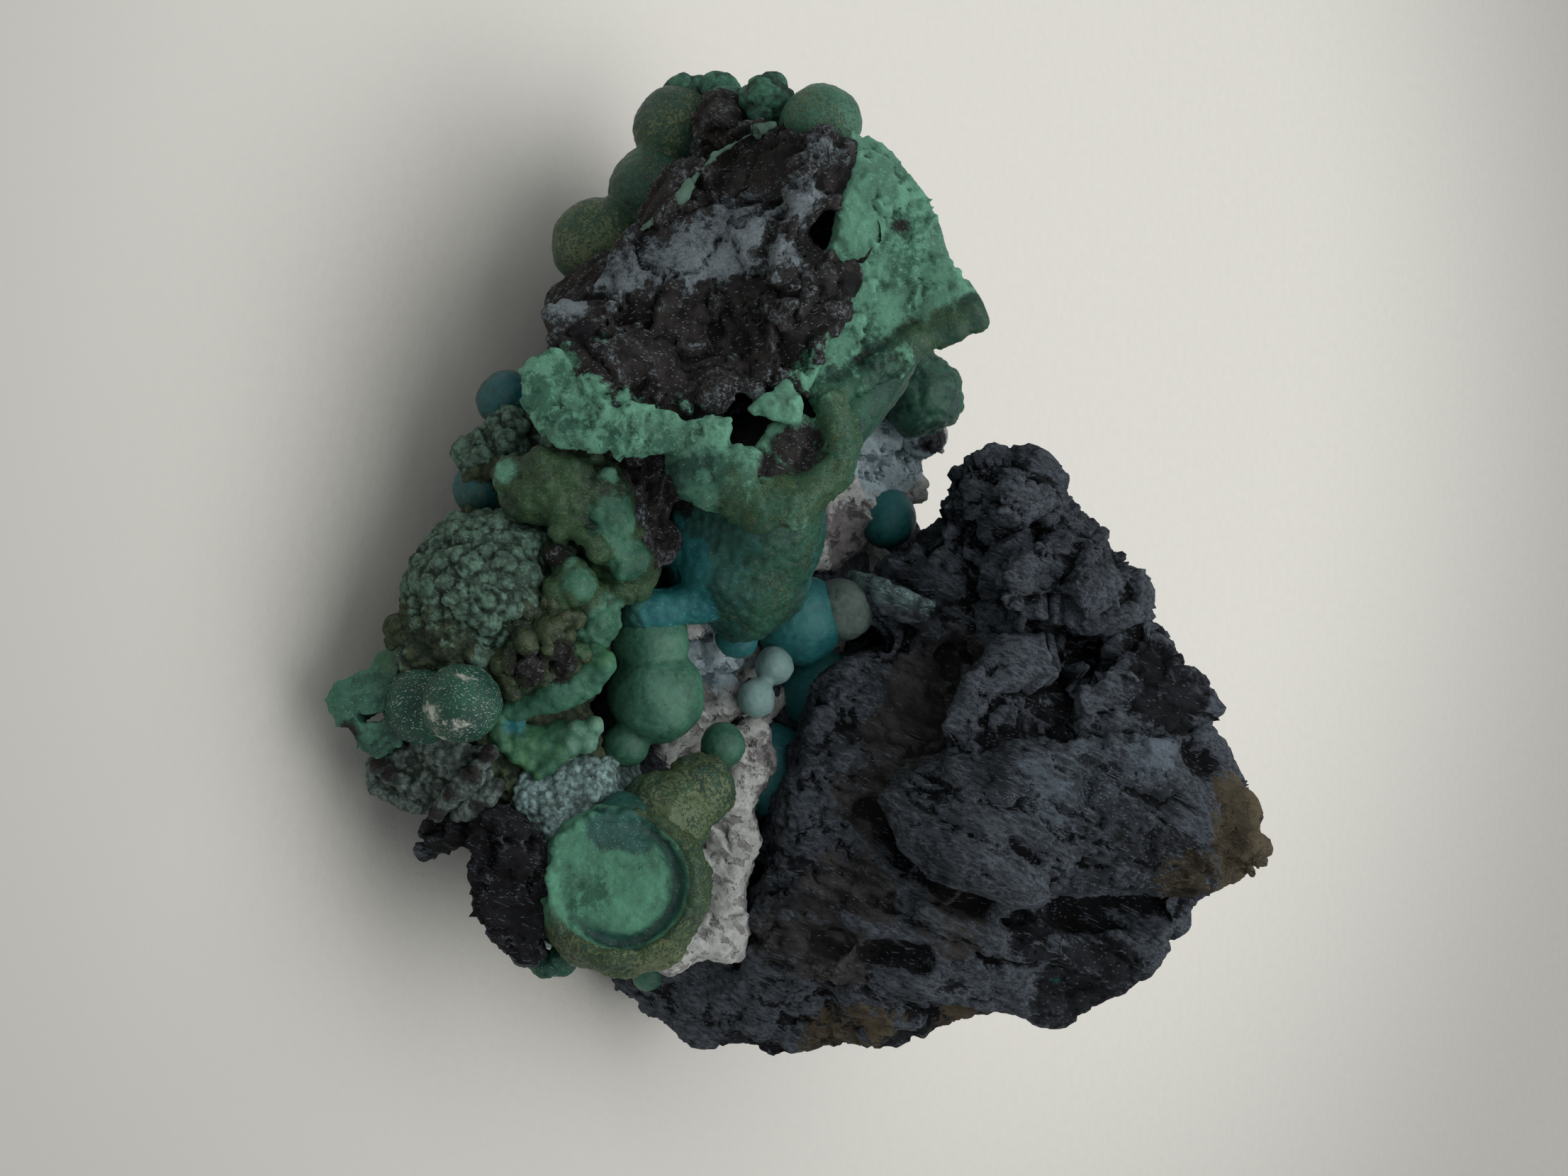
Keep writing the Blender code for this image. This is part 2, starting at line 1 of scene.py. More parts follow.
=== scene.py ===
"""Looks of the chrysocolla and malachite specimen.

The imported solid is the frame: it keeps its place and its collision, and the pieces made here stand for it.
Each piece is one habit of the stone, such as the slab, the rim or the druse, grown from the same corners,
balls and ribs that the solid has, wrapped in one skin, roughened, and given a node material. All places are in
millimetres in the specimen's own frame: +X to the right of its display side, +Y to its back, +Z up. Each
group of pieces is an operator, and the panel in the 3D view's sidebar lists them in order.
"""

import math

import bmesh
import bpy
import numpy as np
from mathutils import Matrix, Vector, noise


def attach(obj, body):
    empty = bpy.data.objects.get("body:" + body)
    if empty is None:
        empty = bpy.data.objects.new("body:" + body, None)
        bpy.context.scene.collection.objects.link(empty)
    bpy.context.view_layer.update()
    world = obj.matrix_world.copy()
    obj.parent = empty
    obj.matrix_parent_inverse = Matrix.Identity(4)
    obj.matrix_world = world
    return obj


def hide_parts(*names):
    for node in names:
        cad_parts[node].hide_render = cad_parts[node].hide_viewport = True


bl_info = {
    "name": "Chrysocolla Specimen",
    "version": (1, 0, 0),
    "blender": (4, 5, 0),
    "location": "3D View > Sidebar > Specimen",
    "description": "Builds the looks of a chrysocolla and malachite specimen around its packed solid",
    "category": "Object",
}

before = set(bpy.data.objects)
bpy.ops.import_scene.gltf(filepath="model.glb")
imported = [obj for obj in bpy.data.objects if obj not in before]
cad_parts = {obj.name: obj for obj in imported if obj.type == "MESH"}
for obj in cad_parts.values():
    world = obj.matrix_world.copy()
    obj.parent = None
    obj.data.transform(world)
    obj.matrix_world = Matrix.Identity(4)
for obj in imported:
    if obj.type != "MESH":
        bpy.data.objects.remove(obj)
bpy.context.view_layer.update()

# The vector noise takes its offsets from this seed, so that each run gives the same shapes
NOISE_SEED = 7
noise.seed_set(NOISE_SEED)

MM = 0.001
NODE = "specimen"
BODY = "root"

BASE_DEPTH = 1.2
FIRST_GRID = 0.6

# Broken rock: each chunk is the hull of its corners. The first rows are its front, the last its back.
SLAB_CHUNKS = {
    "left_wing": [
        (-7, 11, 27), (-7, 13.5, 28.5), (-5.5, 14, 31), (-3.5, 14.5, 31), (-2.5, 15.5, 33.5),
        (-1.5, 16, 34.5), (2.5, 16, 36), (5.5, 16.5, 36.5), (5, 10, 24), (0, 9, 20), (-1.5, 9.5, 22),
        (-4, 10, 24), (-6, 10, 25.5), (-6.5, 20.5, 23), (-1.5, 24, 27.5), (5.5, 26, 30), (5.5, 20, 16.5),
        (-1.5, 18, 17),
    ],
    "upper_shoulder": [
        (0.5, 16.5, 36.5), (2.5, 16.5, 37), (3.5, 16, 36), (0, 13.5, 36), (3.5, 12.5, 35), (0.5, 18, 33),
        (3.5, 18, 33), (0, 13, 32), (3.5, 12, 32),
    ],
    "middle_shoulder": [
        (-2, 15, 35), (-2.5, 12.5, 33.5), (2.5, 11, 34.5), (0, 8.5, 31.5), (3, 8.5, 31.5), (2.5, 15.5, 35),
        (-2, 14, 29), (3, 13, 27),
    ],
    "lower_shoulder": [
        (-4.7, 14, 32), (-3.2, 12.7, 32), (-5.5, 11.5, 30.5), (-3, 9, 30.5), (-5, 14, 27), (-3, 13, 26),
    ],
    "peak": [
        (11, 18.5, 42), (13, 18.5, 42), (15.5, 19.5, 43.5), (17, 20, 44), (19, 20, 44), (20.5, 18, 43),
        (21.5, 16, 42), (22, 10, 36.5), (21.5, 7, 32.5), (18.5, 5, 29), (12.5, 6, 28.5), (8.5, 7.5, 29),
        (9, 12.5, 35), (11, 18.5, 39), (15, 11.5, 37.5), (12, 26, 36.5), (20, 26.5, 39.5),
        (24.5, 21.5, 33.5), (26.5, 17.5, 20), (11, 22.5, 16.5),
    ],
    "smooth_block": [
        (5, 16, 37.5), (7.5, 17, 40), (9, 19, 41), (10.5, 18, 40), (10.5, 15, 35), (6, 13, 35.5),
        (8, 12, 36), (5, 22, 34), (10.5, 23, 36),
    ],
    "lower_wall": [
        (4, 10.5, 23.5), (9, 11.5, 23), (13.5, 9, 24.5), (18.5, 8.5, 27), (22, 8.5, 31.5), (25.5, 4, 23.5),
        (27.5, 3, 19.5), (27, 2.5, 14), (22.5, 3.5, 15), (15.5, 3.5, 17), (12.5, 4, 19), (8, 4.5, 19.5),
        (7, 7, 19.5), (5.5, 21, 14.5), (9.5, 17, 10), (28, 13, 5), (24, 21, 25),
    ],
    "right_flank": [
        (23, 17, 40.5), (25.5, 16.5, 38.5), (26.5, 16, 36), (27.5, 14, 34), (29, 13.5, 31.5),
        (30, 11.5, 29.5), (31, 9, 24.5), (30.5, 8.5, 21), (23, 7, 29.5), (27, 3.5, 19), (24, 24, 36),
        (30, 20, 20), (31, 14, 10),
    ],
    "right_foot": [
        (31, 7, 16), (31.5, 6, 13.5), (32.5, 4, 9.5), (32, 3.5, 7.5), (31, 2.5, 4.5), (29.5, 2.5, 3.5),
        (28, 2.5, 1.5), (26.5, 2.5, 8), (27, 2.5, 14), (28, 3.5, 19), (31, 14, 17), (30, 13, 1), (24, 7, 0),
        (22, 14, 0),
    ],
    "flap": [
        (3, 9, 24.5), (2, 8, 23.5), (1, 6.5, 18.5), (2, 7, 18), (5, 9, 24.5), (6, 10, 26), (2.5, 9.5, 19),
        (6, 11, 22),
    ],
    "core": [
        (2.5, 15.5, 32.5), (8.5, 16.5, 35), (13, 17.5, 35), (2.5, 11.5, 24.5), (13, 10.5, 23.5),
        (2.5, 25, 27), (13.5, 26.5, 31), (2.5, 21.5, 15), (14, 21.5, 15),
    ],
    "bulge": [
        (15, 16.5, 42.5), (20.5, 15.5, 43), (21.5, 11, 39.5), (21.5, 8, 36.5), (21, 5.5, 33.5),
        (19.5, 4, 31.5), (16.5, 2.5, 26.5), (14.5, 3, 25.5), (13, 4.5, 29.5), (11.5, 7, 32.5),
        (11, 10.5, 36), (11.5, 15, 39.5), (16.5, 9, 38), (16, 5.5, 33.5), (13, 20.5, 35.5), (21, 20.5, 35.5),
        (21, 12.5, 25.5), (14.5, 10.5, 23.5),
    ],
    "overhang": [
        (5.5, 12.5, 34), (9, 12.5, 35.5), (11, 10.5, 35), (12.5, 7.5, 32.5), (12.5, 5.5, 30),
        (11, 4.5, 28.5), (9, 5.5, 29), (7, 7, 29.5), (5.5, 9, 31), (6.5, 21.5, 27), (12.5, 21.5, 27),
        (12, 17, 22), (7.5, 17.5, 22.5),
    ],
    "right_face": [
        (22, 8, 30.5), (23, 7, 29.5), (25, 3.5, 24), (27.5, 2.5, 20), (27, 1.8, 14.5), (24, 1.6, 17.5),
        (20, 2.5, 21.5), (18.5, 6, 25.5), (20.5, 7.5, 28), (23, 15, 19.5), (27, 9, 12.5),
    ],
    "lower_lip": [
        (7.5, 5, 21), (9, 3.5, 20.5), (13, 3, 20), (15.5, 2.3, 18), (19.5, 2.4, 17.5), (24, 1.7, 16),
        (24, 2.3, 19.5), (19.5, 3.5, 21), (14, 5, 22), (9, 6.5, 21.5), (9.5, 12, 16), (25, 9, 12.5),
        (16, 11, 15),
    ],
    "back_root": [
        (3, 22.5, 9), (10, 24.6, 8), (18, 24, 9), (4, 24.5, 21), (12, 25.6, 23), (20, 24, 22), (10, 14, 14),
    ],
}
FOOT_CHUNKS = {
    "foot": [
        (-20, 5.5, -BASE_DEPTH), (-12, -0.5, -BASE_DEPTH), (-3, -5.5, -BASE_DEPTH), (5, -10, -BASE_DEPTH),
        (11, -12, -BASE_DEPTH), (17, -8, -BASE_DEPTH), (24, -2, -BASE_DEPTH), (27, 5, -BASE_DEPTH),
        (26, 13, -BASE_DEPTH), (14, 18, -BASE_DEPTH), (-5, 17, -BASE_DEPTH), (-17, 12, -BASE_DEPTH),
        (-23, 3, 11), (-8, -6, 10), (4, -11, 10), (12, -14, 9), (17, -8, 10), (25, 0, 8), (29, 12, 12),
        (15, 21, 18), (-4, 20, 16), (-15, 15, 15),
    ],
    "front_ledge": [
        (-2, -9, 2.5), (5, -13.5, 2.2), (12, -15, 2.5), (16, -11, 2.5), (-4, -11, 7), (5, -16, 6.5),
        (13, -17, 6), (18, -11, 7), (0, -3, 2), (14, -5, 2), (0, -3, 9), (14, -5, 9),
    ],
    "left_ledge": [
        (-27, 4.5, 5), (-25, 1.5, 4), (-20, 0, 3.5), (-22, 10, 4), (-27, 9, 6), (-28, 5, 10), (-25, 0, 10),
        (-18, -4, 9), (-18, 12, 13), (-27, 11, 12),
    ],
    "back_ledge": [
        (-16, 16, 2.5), (-4, 21, 3), (10, 24, 2.2), (20, 22, 3), (26, 16, 4), (-14, 18, 13), (0, 22, 15),
        (14, 25, 17), (26, 18, 15), (0, 10, 2), (16, 10, 2),
    ],
    "right_ledge": [
        (26, 0, 3), (30.5, 5, 3), (31, 13, 4), (27, 17, 5), (24, 2, 9), (30, 3.5, 9), (31.5, 12, 12),
        (22, 5, 3), (20, 14, 3),
    ],
}
FLOOR_CHUNKS = {
    "hollow_floor": [
        (5, -1.5, 13.5), (11.5, -3.5, 12.5), (13, 4.5, 14), (5, 5.5, 15), (19, 4, 12), (24.5, 2.5, 10.5),
        (-1, 18, 16), (24, 14, 10), (0, 0, 6), (24, 2, 5),
    ],
    "back_bank": [
        (-7, 12, 18.5), (-9.5, 15, 19.5), (-4.5, 17.5, 18), (0, 10, 16.5), (4, -2, 14), (-13, 13, 18),
        (-14, 6, 14), (0, 18, 10), (-12, 16, 8), (0, 0, 8),
    ],
}
CRAG_CHUNKS = {
    "broken_face": [
        (-25.5, -2.5, 28.5), (-23, -2, 29.5), (-18.5, -2.5, 30), (-13, -6, 28.5), (-10, -7.5, 28),
        (-9, -11.5, 22.5), (-9, -15, 18.5), (-12.5, -16, 16.5), (-15, -17, 14.5), (-18, -14.5, 16),
        (-21.5, -10.5, 19.5), (-25, -8, 19.5), (-28, -4, 23), (-26.5, -3, 25.5), (-26, 6, 19), (-14, 8, 17),
        (-9, -4, 9), (-17, -6, 7), (-27, 2, 15),
    ],
    "crag_back": [
        (-25, 1, 27.5), (-20, 2, 30), (-14, 2, 30.5), (-10.5, -2, 27), (-25, 8, 21), (-19, 11, 20),
        (-12, 10, 19), (-10, 4, 20), (-26, 6, 12), (-8, 10, 11), (-22, 14, 12), (-12, 15, 12),
    ],
    "fold_rock": [
        (-8, -6, 26.5), (-5, -6.5, 26), (-4.5, -7.5, 24.5), (-7.5, -7.5, 24.5), (-6.5, -4, 26.5),
        (-8.5, -4, 26.5), (-5, -4.7, 26), (-3.7, -6.7, 23.5), (-8, -5, 21.5), (-4.5, -3.7, 20),
        (-7.5, -1.5, 23),
    ],
    "saddle": [
        (-11, -9, 21.5), (-5, -10.5, 19.5), (0, -9, 16.5), (0, -11.5, 15.5), (-7.5, -13.5, 14),
        (-10, -15, 12), (-13, -15, 12), (-16, -12.5, 12), (-6, 2, 8), (-12, 4, 12), (0, -4, 8),
    ],
}
RIM_CHUNKS = {
    "crest": [
        (-27, -1.5, 26.5), (-26, 0, 28), (-24.5, 0.5, 29.5), (-22.5, 1, 31), (-19.5, 1, 31), (-18, 1.5, 32),
        (-16.5, 2, 32.5), (-14.5, 0.5, 32.5), (-13, -1, 31.5), (-12, -3, 30), (-11, -4.5, 28.5),
        (-25, -2.5, 28), (-18.5, -2.5, 29.5), (-10, -7, 27), (-24, 6, 24), (-14, 7, 24),
    ],
}
FRONT_CHUNKS = {
    "front_mass": [
        (-7.5, -11, 14.5), (-7.5, -16, 9.5), (-3, -17.5, 8), (2.5, -20, 8), (5.5, -20.5, 7.5),
        (8.5, -21, 6.5), (14, -19.5, 7), (15, -15.5, 11.5), (13.5, -11, 14), (2.5, -8, 14), (-4, -8, 14),
        (0, -9, 3), (9, -14, 1), (15, -10, 4),
    ],
}
STEM_CHUNKS = {
    "cut_ball_stem": [
        (12.3, -11.3, 15), (16.9, -13.6, 15.2), (16.2, -15, 13.6), (14.2, -16.2, 11.8), (12.2, -15, 12.2),
        (24, -14, 10.5), (24.5, -10, 13.5), (21.5, -6, 15.5), (13, -5, 12), (14, -3, 6), (24, -3, 6),
        (13, -12, 7), (16, -14, 8),
    ],
}
TIP_CHUNKS = {
    "olive_leaf": [
        (5, -21.6, 8.2), (6.6, -21.9, 8.4), (7.2, -22.3, 7.4), (6.9, -23.2, 6), (5.6, -22.6, 6.2),
        (6.2, -20, 6),
    ],
    "middle_facet": [
        (7, -22.2, 7.9), (8.2, -22.4, 8), (9.4, -22.8, 7.2), (9.6, -23.5, 6), (8.4, -24, 5.2),
        (6.8, -23.6, 5.6), (6.6, -22.9, 6.8), (8, -19, 5.5),
    ],
    "front_tip": [
        (7, -23.6, 5.6), (8.6, -24.1, 5.4), (10.4, -23.4, 5.6), (10.2, -24.2, 4.6), (8.6, -25, 4.2),
        (7.4, -24.4, 4.6), (9, -19, 4),
    ],
    "right_facet": [
        (9.6, -22, 7.6), (11.4, -21.2, 7.2), (12.4, -21.8, 5.6), (11.6, -23, 5), (10.2, -23.8, 5.2),
        (9.8, -22.8, 6.6), (11, -18, 4),
    ],
    "tip_root": [
        (5.5, -20.5, 8), (6, -17, 4), (12, -17, 4), (10, -21.5, 8), (11, -20.5, 5), (6.5, -21.5, 5.5),
    ],
}
DRUSE_FOOT_CHUNKS = {
    "druse_foot": [
        (11.5, -18, 12), (14.7, -18.3, 11.8), (15.8, -19.5, 7), (14.3, -21, 4), (12.7, -21, 4),
        (11, -20.5, 8), (10, -15, 5), (15, -15, 5),
    ],
}
SHARD_CHUNKS = {
    "black_shard": [
        (15, -17, 12), (16.5, -16, 14.5), (18.5, -15.7, 15), (24, -15, 14.2), (25.2, -15.7, 12),
        (23.5, -17.5, 11.3), (21.5, -19, 11), (17, -20, 11.4), (15.5, -19, 11), (16.5, -14, 8.5),
        (23, -13, 9),
    ],
    "shard_fragment": [
        (16, -18.2, 9), (17.3, -18, 9.3), (18.3, -17.8, 8), (18.1, -18, 6), (17.3, -18.3, 5.8),
        (16, -18.5, 7), (15, -16, 9), (15, -16, 6.5),
    ],
}

# Grape-like balls: (x, y, z, radius)
PALE_LEFT_BALLS = [(-27.6, 0, 23, 2.6)]
SPECKLED_BALLS = [
    (-29.3, -1.1, 19.5, 1.6), (-29.2, -0.6, 16.2, 1.5), (-30.4, 0.5, 13.9, 1.3), (-30.4, -0.4, 12.2, 1.4),
]
LEFT_BALLS = [(-28.1, -1.5, 12.1, 2.9), (-24.1, -3.3, 11.5, 2.8), (-20.5, -6.3, 9.6, 3), (-22, -1, 12, 4.5)]
GREEN_BALLS = [
    (8.5, -7.3, 15.6, 3.1), (5.2, -7.4, 15.3, 2.5), (11.6, -8.6, 14.2, 1.5), (11.8, -2.4, 16.9, 1.5),
    (27.8, 1.7, 6.6, 1.1),
]
GOLD_BALLS = [(14.5, -5.5, 17.6, 2.3), (16.2, -7.7, 16.6, 3)]
LOBE_BALLS = [(16.6, -10.7, 15.9, 2.2), (18.4, -13.6, 14.2, 1.9), (20.2, -14, 13.6, 1.6)]
TEAL_BALLS = [
    (4.9, -1.8, 17.6, 1.4), (3.9, 5.4, 16.8, 3), (13.9, 5.4, 14, 3.2), (8.6, 9, 15.4, 2.8),
    (-2.9, 13.5, 17.9, 2),
]
LOW_TEAL_BALLS = [(-10.1, -13.4, 8.4, 1.9), (-4.4, -15.6, 8.4, 1.8)]
PALE_BALLS = [(6.8, 2.6, 17, 1.3), (8.9, 1.2, 16.7, 1.3), (11.8, 1.8, 16, 1)]
GREY_BALLS = [(3.2, 7.2, 19, 2.1)]
BACK_BALLS = [(-11.2, 13.5, 20.7, 2.8), (-13.4, 12.5, 19.8, 2.2)]
CURTAIN_BALLS = [(-0.8, -5.7, 16.9, 2.1)]
PATCHED_BALLS = [(8.7, -21.3, 12.5, 2.45), (8.9, -20.8, 8.6, 2.4)]
DRUSE_DOME_BALLS = [
    (1.9, -16.9, 9.6, 4.6), (0, -16.2, 10.8, 3.1), (4.9, -18.6, 9, 3.2), (6.1, -20.9, 8.4, 1.3),
    (4.9, -20.6, 7.2, 1.2),
]
MOSS_BALLS = [(-7.2, -12.6, 12.2, 1.8), (-7.5, -14.5, 10, 1.8), (-6.4, -15.6, 8.6, 1.5)]
CLUSTER_BALLS = [
    (3.1, -17, 14.1, 0.7), (4.6, -15.6, 15.5, 0.6), (6.4, -18.2, 13.1, 0.7), (7.3, -17.8, 13, 0.6),
    (1.9, -16.9, 14.1, 0.5), (6.2, -15.2, 15.3, 0.9), (6.7, -17.1, 14.3, 0.9), (5.7, -14.4, 16, 0.6),
    (4.3, -16.5, 15.1, 0.9), (4.9, -17.7, 14.3, 0.7), (2.7, -16.1, 15, 0.8), (3.4, -15.5, 15.5, 0.6),
    (5.6, -18.3, 13.6, 0.5), (2.4, -17, 13.5, 0.5), (5.6, -16.3, 15.2, 0.7), (3.9, -17.4, 13.8, 0.5),
    (7.9, -17.2, 12.6, 0.6), (7.2, -16, 14.2, 0.7), (3.6, -14.8, 15.6, 0.5), (4.3, -18, 13.1, 0.5),
]
PEBBLE_BALLS = [
    (10.4, -12.4, 15, 0.7), (11.3, -12.7, 14.7, 0.8), (10.5, -13.2, 14.3, 0.7), (11.4, -13.5, 14.1, 0.7),
    (12, -14.1, 13.5, 0.8), (12.8, -14.6, 13.2, 0.6), (11.5, -14.8, 13, 0.7), (13.3, -15.2, 13, 0.4),
    (11.1, -16, 12.1, 0.6), (12.1, -16.2, 12, 0.6), (10.7, -17, 11.3, 0.6), (11.4, -15.5, 12.6, 0.6),
    (10, -16, 12, 0.6), (12.6, -15.5, 12.4, 0.5), (11.5, -16.9, 11.6, 0.5), (9.8, -17, 11.5, 0.5),
]
PEBBLE_BED = [(11.2, -13, 12.8, 1.5), (11.6, -14.8, 11.8, 1.5), (10.8, -16.2, 10.8, 1.2)]
WHITE_BALLS = [
    (20.5, -1.5, 12.6, 2), (16.5, -1.5, 13, 2), (23.2, -2, 11.6, 2), (9, 1.2, 13.6, 1.6),
    (5.8, 0.4, 13.4, 1.5), (4, -4.2, 15.2, 1.2), (-8.6, 15.2, 19.6, 1.6),
]
RIGHT_FLAKE_BALLS = [
    (24.6, -13.2, 13.2, 0.8), (25.4, -13.8, 12.2, 0.7), (24.6, -14.2, 11.6, 0.8), (25, -12.8, 12.6, 0.9),
]

# Rounded ribs: the hull from each ball to the next
RIBS = {
    "rim_skin": [
        (-13.4, -1, 31.4, 1.1), (-12.6, -1.8, 30.7, 1), (-11.4, -3, 29.6, 1.1), (-10.4, -4.3, 28.5, 1),
        (-9.6, -5.6, 28.3, 0.9),
    ],
    "fold": [
        (-10, -5.6, 28, 1), (-9.4, -5.7, 28.5, 1), (-8.2, -5.4, 28.7, 1.2), (-6.8, -5.2, 28.6, 1.4),
        (-5.5, -5.6, 28.3, 1.5), (-4.5, -6.8, 27.8, 1.6), (-3.7, -8.2, 27.1, 1.7), (-3.2, -9.2, 26.1, 1.7),
        (-3.6, -10, 25.1, 1.5), (-4.7, -10.4, 25, 1.3), (-5.8, -10.3, 25.2, 1.1),
    ],
    "white_bank": [
        (11.4, 1.8, 16, 1.2), (13.4, 1.2, 15.6, 1.8), (16, 1.2, 15, 1.6), (18.8, 1.4, 14.3, 1.9),
        (21.6, 0.8, 14.1, 1.6), (24.6, 0.5, 13.5, 1.9), (25.3, -1.6, 12, 1.5), (25.2, -3.6, 9.9, 1.2),
    ],
    "shell_edge": [
        (-27.2, -4.1, 22.6, 0.2), (-26.6, -4.7, 21.2, 0.24), (-25.2, -6.7, 20, 0.24),
        (-23.5, -8.4, 19.7, 0.26), (-22.4, -9.6, 20.1, 0.24), (-21.4, -10.5, 19.3, 0.26),
        (-20.3, -11.2, 18, 0.24), (-19.5, -11.8, 17, 0.22),
    ],
    "mint_lump": [
        (-10.6, -8, 27, 0.35), (-10, -8.2, 26.9, 0.6), (-9.3, -8, 27.3, 0.7), (-8.7, -7.9, 27.4, 0.5),
        (-9.3, -8.9, 26.3, 0.6), (-9.1, -9.4, 25.6, 0.35),
    ],
    "finger": [(2.8, -5.6, 18.3, 1.4), (2.9, -7.4, 16.6, 1.4), (3, -8.9, 15.5, 1.4)],
    "knobbly_ridge": [
        (0.9, -9.8, 15.7, 1.7), (-1.2, -11.8, 16.1, 2.2), (-3.7, -13.3, 15.7, 2.6), (-4.5, -15.4, 14.4, 2.3),
        (-4.2, -16.6, 13, 1.6),
    ],
    "curl": [
        (-1.7, -16, 15.6, 0.6), (-1.7, -15.6, 16.6, 0.6), (-1.2, -15.1, 17.4, 0.6), (-0.3, -14.8, 17.7, 0.6),
    ],
    "foot_ridge": [
        (11.9, -18.7, 12.1, 0.5), (13.1, -19.2, 11.3, 0.5), (14.2, -19.5, 10, 0.5), (15.5, -19.6, 8.6, 0.4),
    ],
    "side_ridge": [(13.8, -17.8, 12.4, 0.4), (14.9, -18.4, 11, 0.5), (15.6, -18.8, 9.8, 0.4)],
    "low_ridge": [(14.2, -20, 7.2, 0.4), (13.3, -20.7, 5.8, 0.5), (12.7, -21, 5, 0.4)],
}

# Smooth masses, each the hull of its balls
MASSES = {
    "curtain": [
        (0, -2.7, 18.6, 4.8), (-3.5, -3.4, 21.4, 3.8), (2.5, -2.7, 18.6, 2.7), (-5.1, -4.9, 18.7, 3.1),
        (-7.5, -3, 23.5, 2.6), (-4, 0.6, 14.7, 3.9),
    ],
    "rim_back": [
        (-12.8, -0.8, 30.2, 1.2), (-9.3, -4.2, 27.3, 1.2), (-5.5, -4.9, 27, 1.2), (-3.5, -8, 25.4, 1.2),
        (-11.5, 2.5, 26.5, 1.3), (-7.5, -0.5, 23.5, 2), (-4, -4, 22.5, 2), (-5.2, -8.2, 21.5, 1.5),
        (-12, 4, 20, 2),
    ],
    "horn": [
        (-17.8, 0.9, 31.9, 0.9), (-16.6, 1.3, 32.9, 0.9), (-15.3, 1.3, 33.9, 0.9), (-14.6, 1.6, 34.4, 0.6),
        (-14.3, 0.9, 33.4, 0.7), (-13.7, -0.4, 31.6, 0.8), (-16.2, 0.2, 31.2, 0.8),
    ],
    "horn_bulge": [(-14.1, 0.6, 33.3, 0.8), (-13.7, -0.2, 32.2, 0.9), (-13.5, -0.8, 31.2, 0.8)],
    "fold_face": [
        (-5.8, -10.9, 24.6, 0.9), (-3.7, -10.4, 24.4, 1), (-6.1, -11.9, 22.6, 0.9), (-4.9, -11.6, 22.4, 1.2),
        (-3.9, -10.6, 23.2, 1), (-5.9, -11.2, 21.2, 0.9),
    ],
    "fold_rock": [
        (-8, -6.8, 27.2, 0.7), (-6.4, -7.2, 27, 0.8), (-5.2, -8.6, 26.6, 0.7), (-7.6, -7.6, 25.8, 0.6),
        (-5.8, -8.8, 25.4, 0.6),
    ],
    "band_top": [
        (-8.3, -10.8, 24.7, 0.4), (-6.9, -11, 24.2, 0.6), (-6.5, -12, 22.5, 0.6), (-8, -12.6, 22.3, 0.4),
        (-7.3, -12.6, 21.8, 0.6),
    ],
    "band_middle": [
        (-8.6, -12.9, 22.2, 0.4), (-7, -12.9, 21.7, 0.7), (-6.8, -14.6, 20, 0.7), (-9.2, -14.7, 20.3, 0.4),
        (-7.2, -12.3, 22.4, 0.6), (-7.6, -15.4, 19.2, 0.6),
    ],
    "band_low": [
        (-7.2, -15.7, 18.7, 0.6), (-9.7, -15.8, 18.1, 0.5), (-12.3, -16.7, 16, 0.5),
        (-11.5, -17.4, 14.7, 0.6), (-9.9, -17.4, 14.5, 0.6), (-7.3, -16.8, 16.6, 0.7),
        (-8.4, -15.1, 19.4, 0.5),
    ],
    "cluster_bed": [
        (2.2, -15.3, 14, 1), (5.4, -14.8, 14.4, 1), (7.2, -16.4, 13.2, 1), (6.3, -17.3, 12.6, 1),
        (3, -16.2, 13.2, 1),
    ],
    "plate": [
        (5.5, -13.9, 16.3, 0.6), (6.4, -13.6, 16.8, 0.9), (7.4, -13.9, 16.1, 1), (7.9, -14.7, 15, 1.1),
        (8, -15.5, 13.7, 1), (8.4, -16.2, 12.4, 0.8), (9.4, -16.6, 11.8, 0.6),
    ],
    "ridge_flake": [
        (-6.1, -16.9, 13.9, 0.4), (-5.4, -17.8, 13.4, 0.4), (-4.4, -18.2, 12.6, 0.4), (-5.2, -17.9, 12, 0.4),
        (-5.9, -17.4, 12.6, 0.4),
    ],
}

# Lobes that stand on the knobbly ridge: (x, y, z, radius)
RIDGE_BALLS = [
    (0, -11.5, 17, 1.7), (1.8, -11.4, 16.2, 1.1), (-2.4, -12.9, 16.9, 1.7), (-4.3, -13.6, 16.8, 1.5),
    (-5, -15.2, 15.6, 1.8), (-3.5, -15.3, 15.4, 1.7), (-5.1, -16.2, 14.6, 1.8), (-3.9, -16.5, 13.6, 1.6),
    (-6.2, -14, 15.6, 1.3), (1.4, -15.2, 16.1, 1.3), (0.5, -15.1, 15.5, 0.7), (-0.2, -15.2, 14.8, 1),
    (1.9, -15.8, 15.2, 1.1), (-5.1, -13.8, 17.5, 0.7), (-1, -13.2, 16.6, 1.5), (3.7, -12.6, 15.4, 1.5),
    (2.5, -13.7, 15.4, 1.5), (4.6, -13.2, 15.2, 1.2),
]

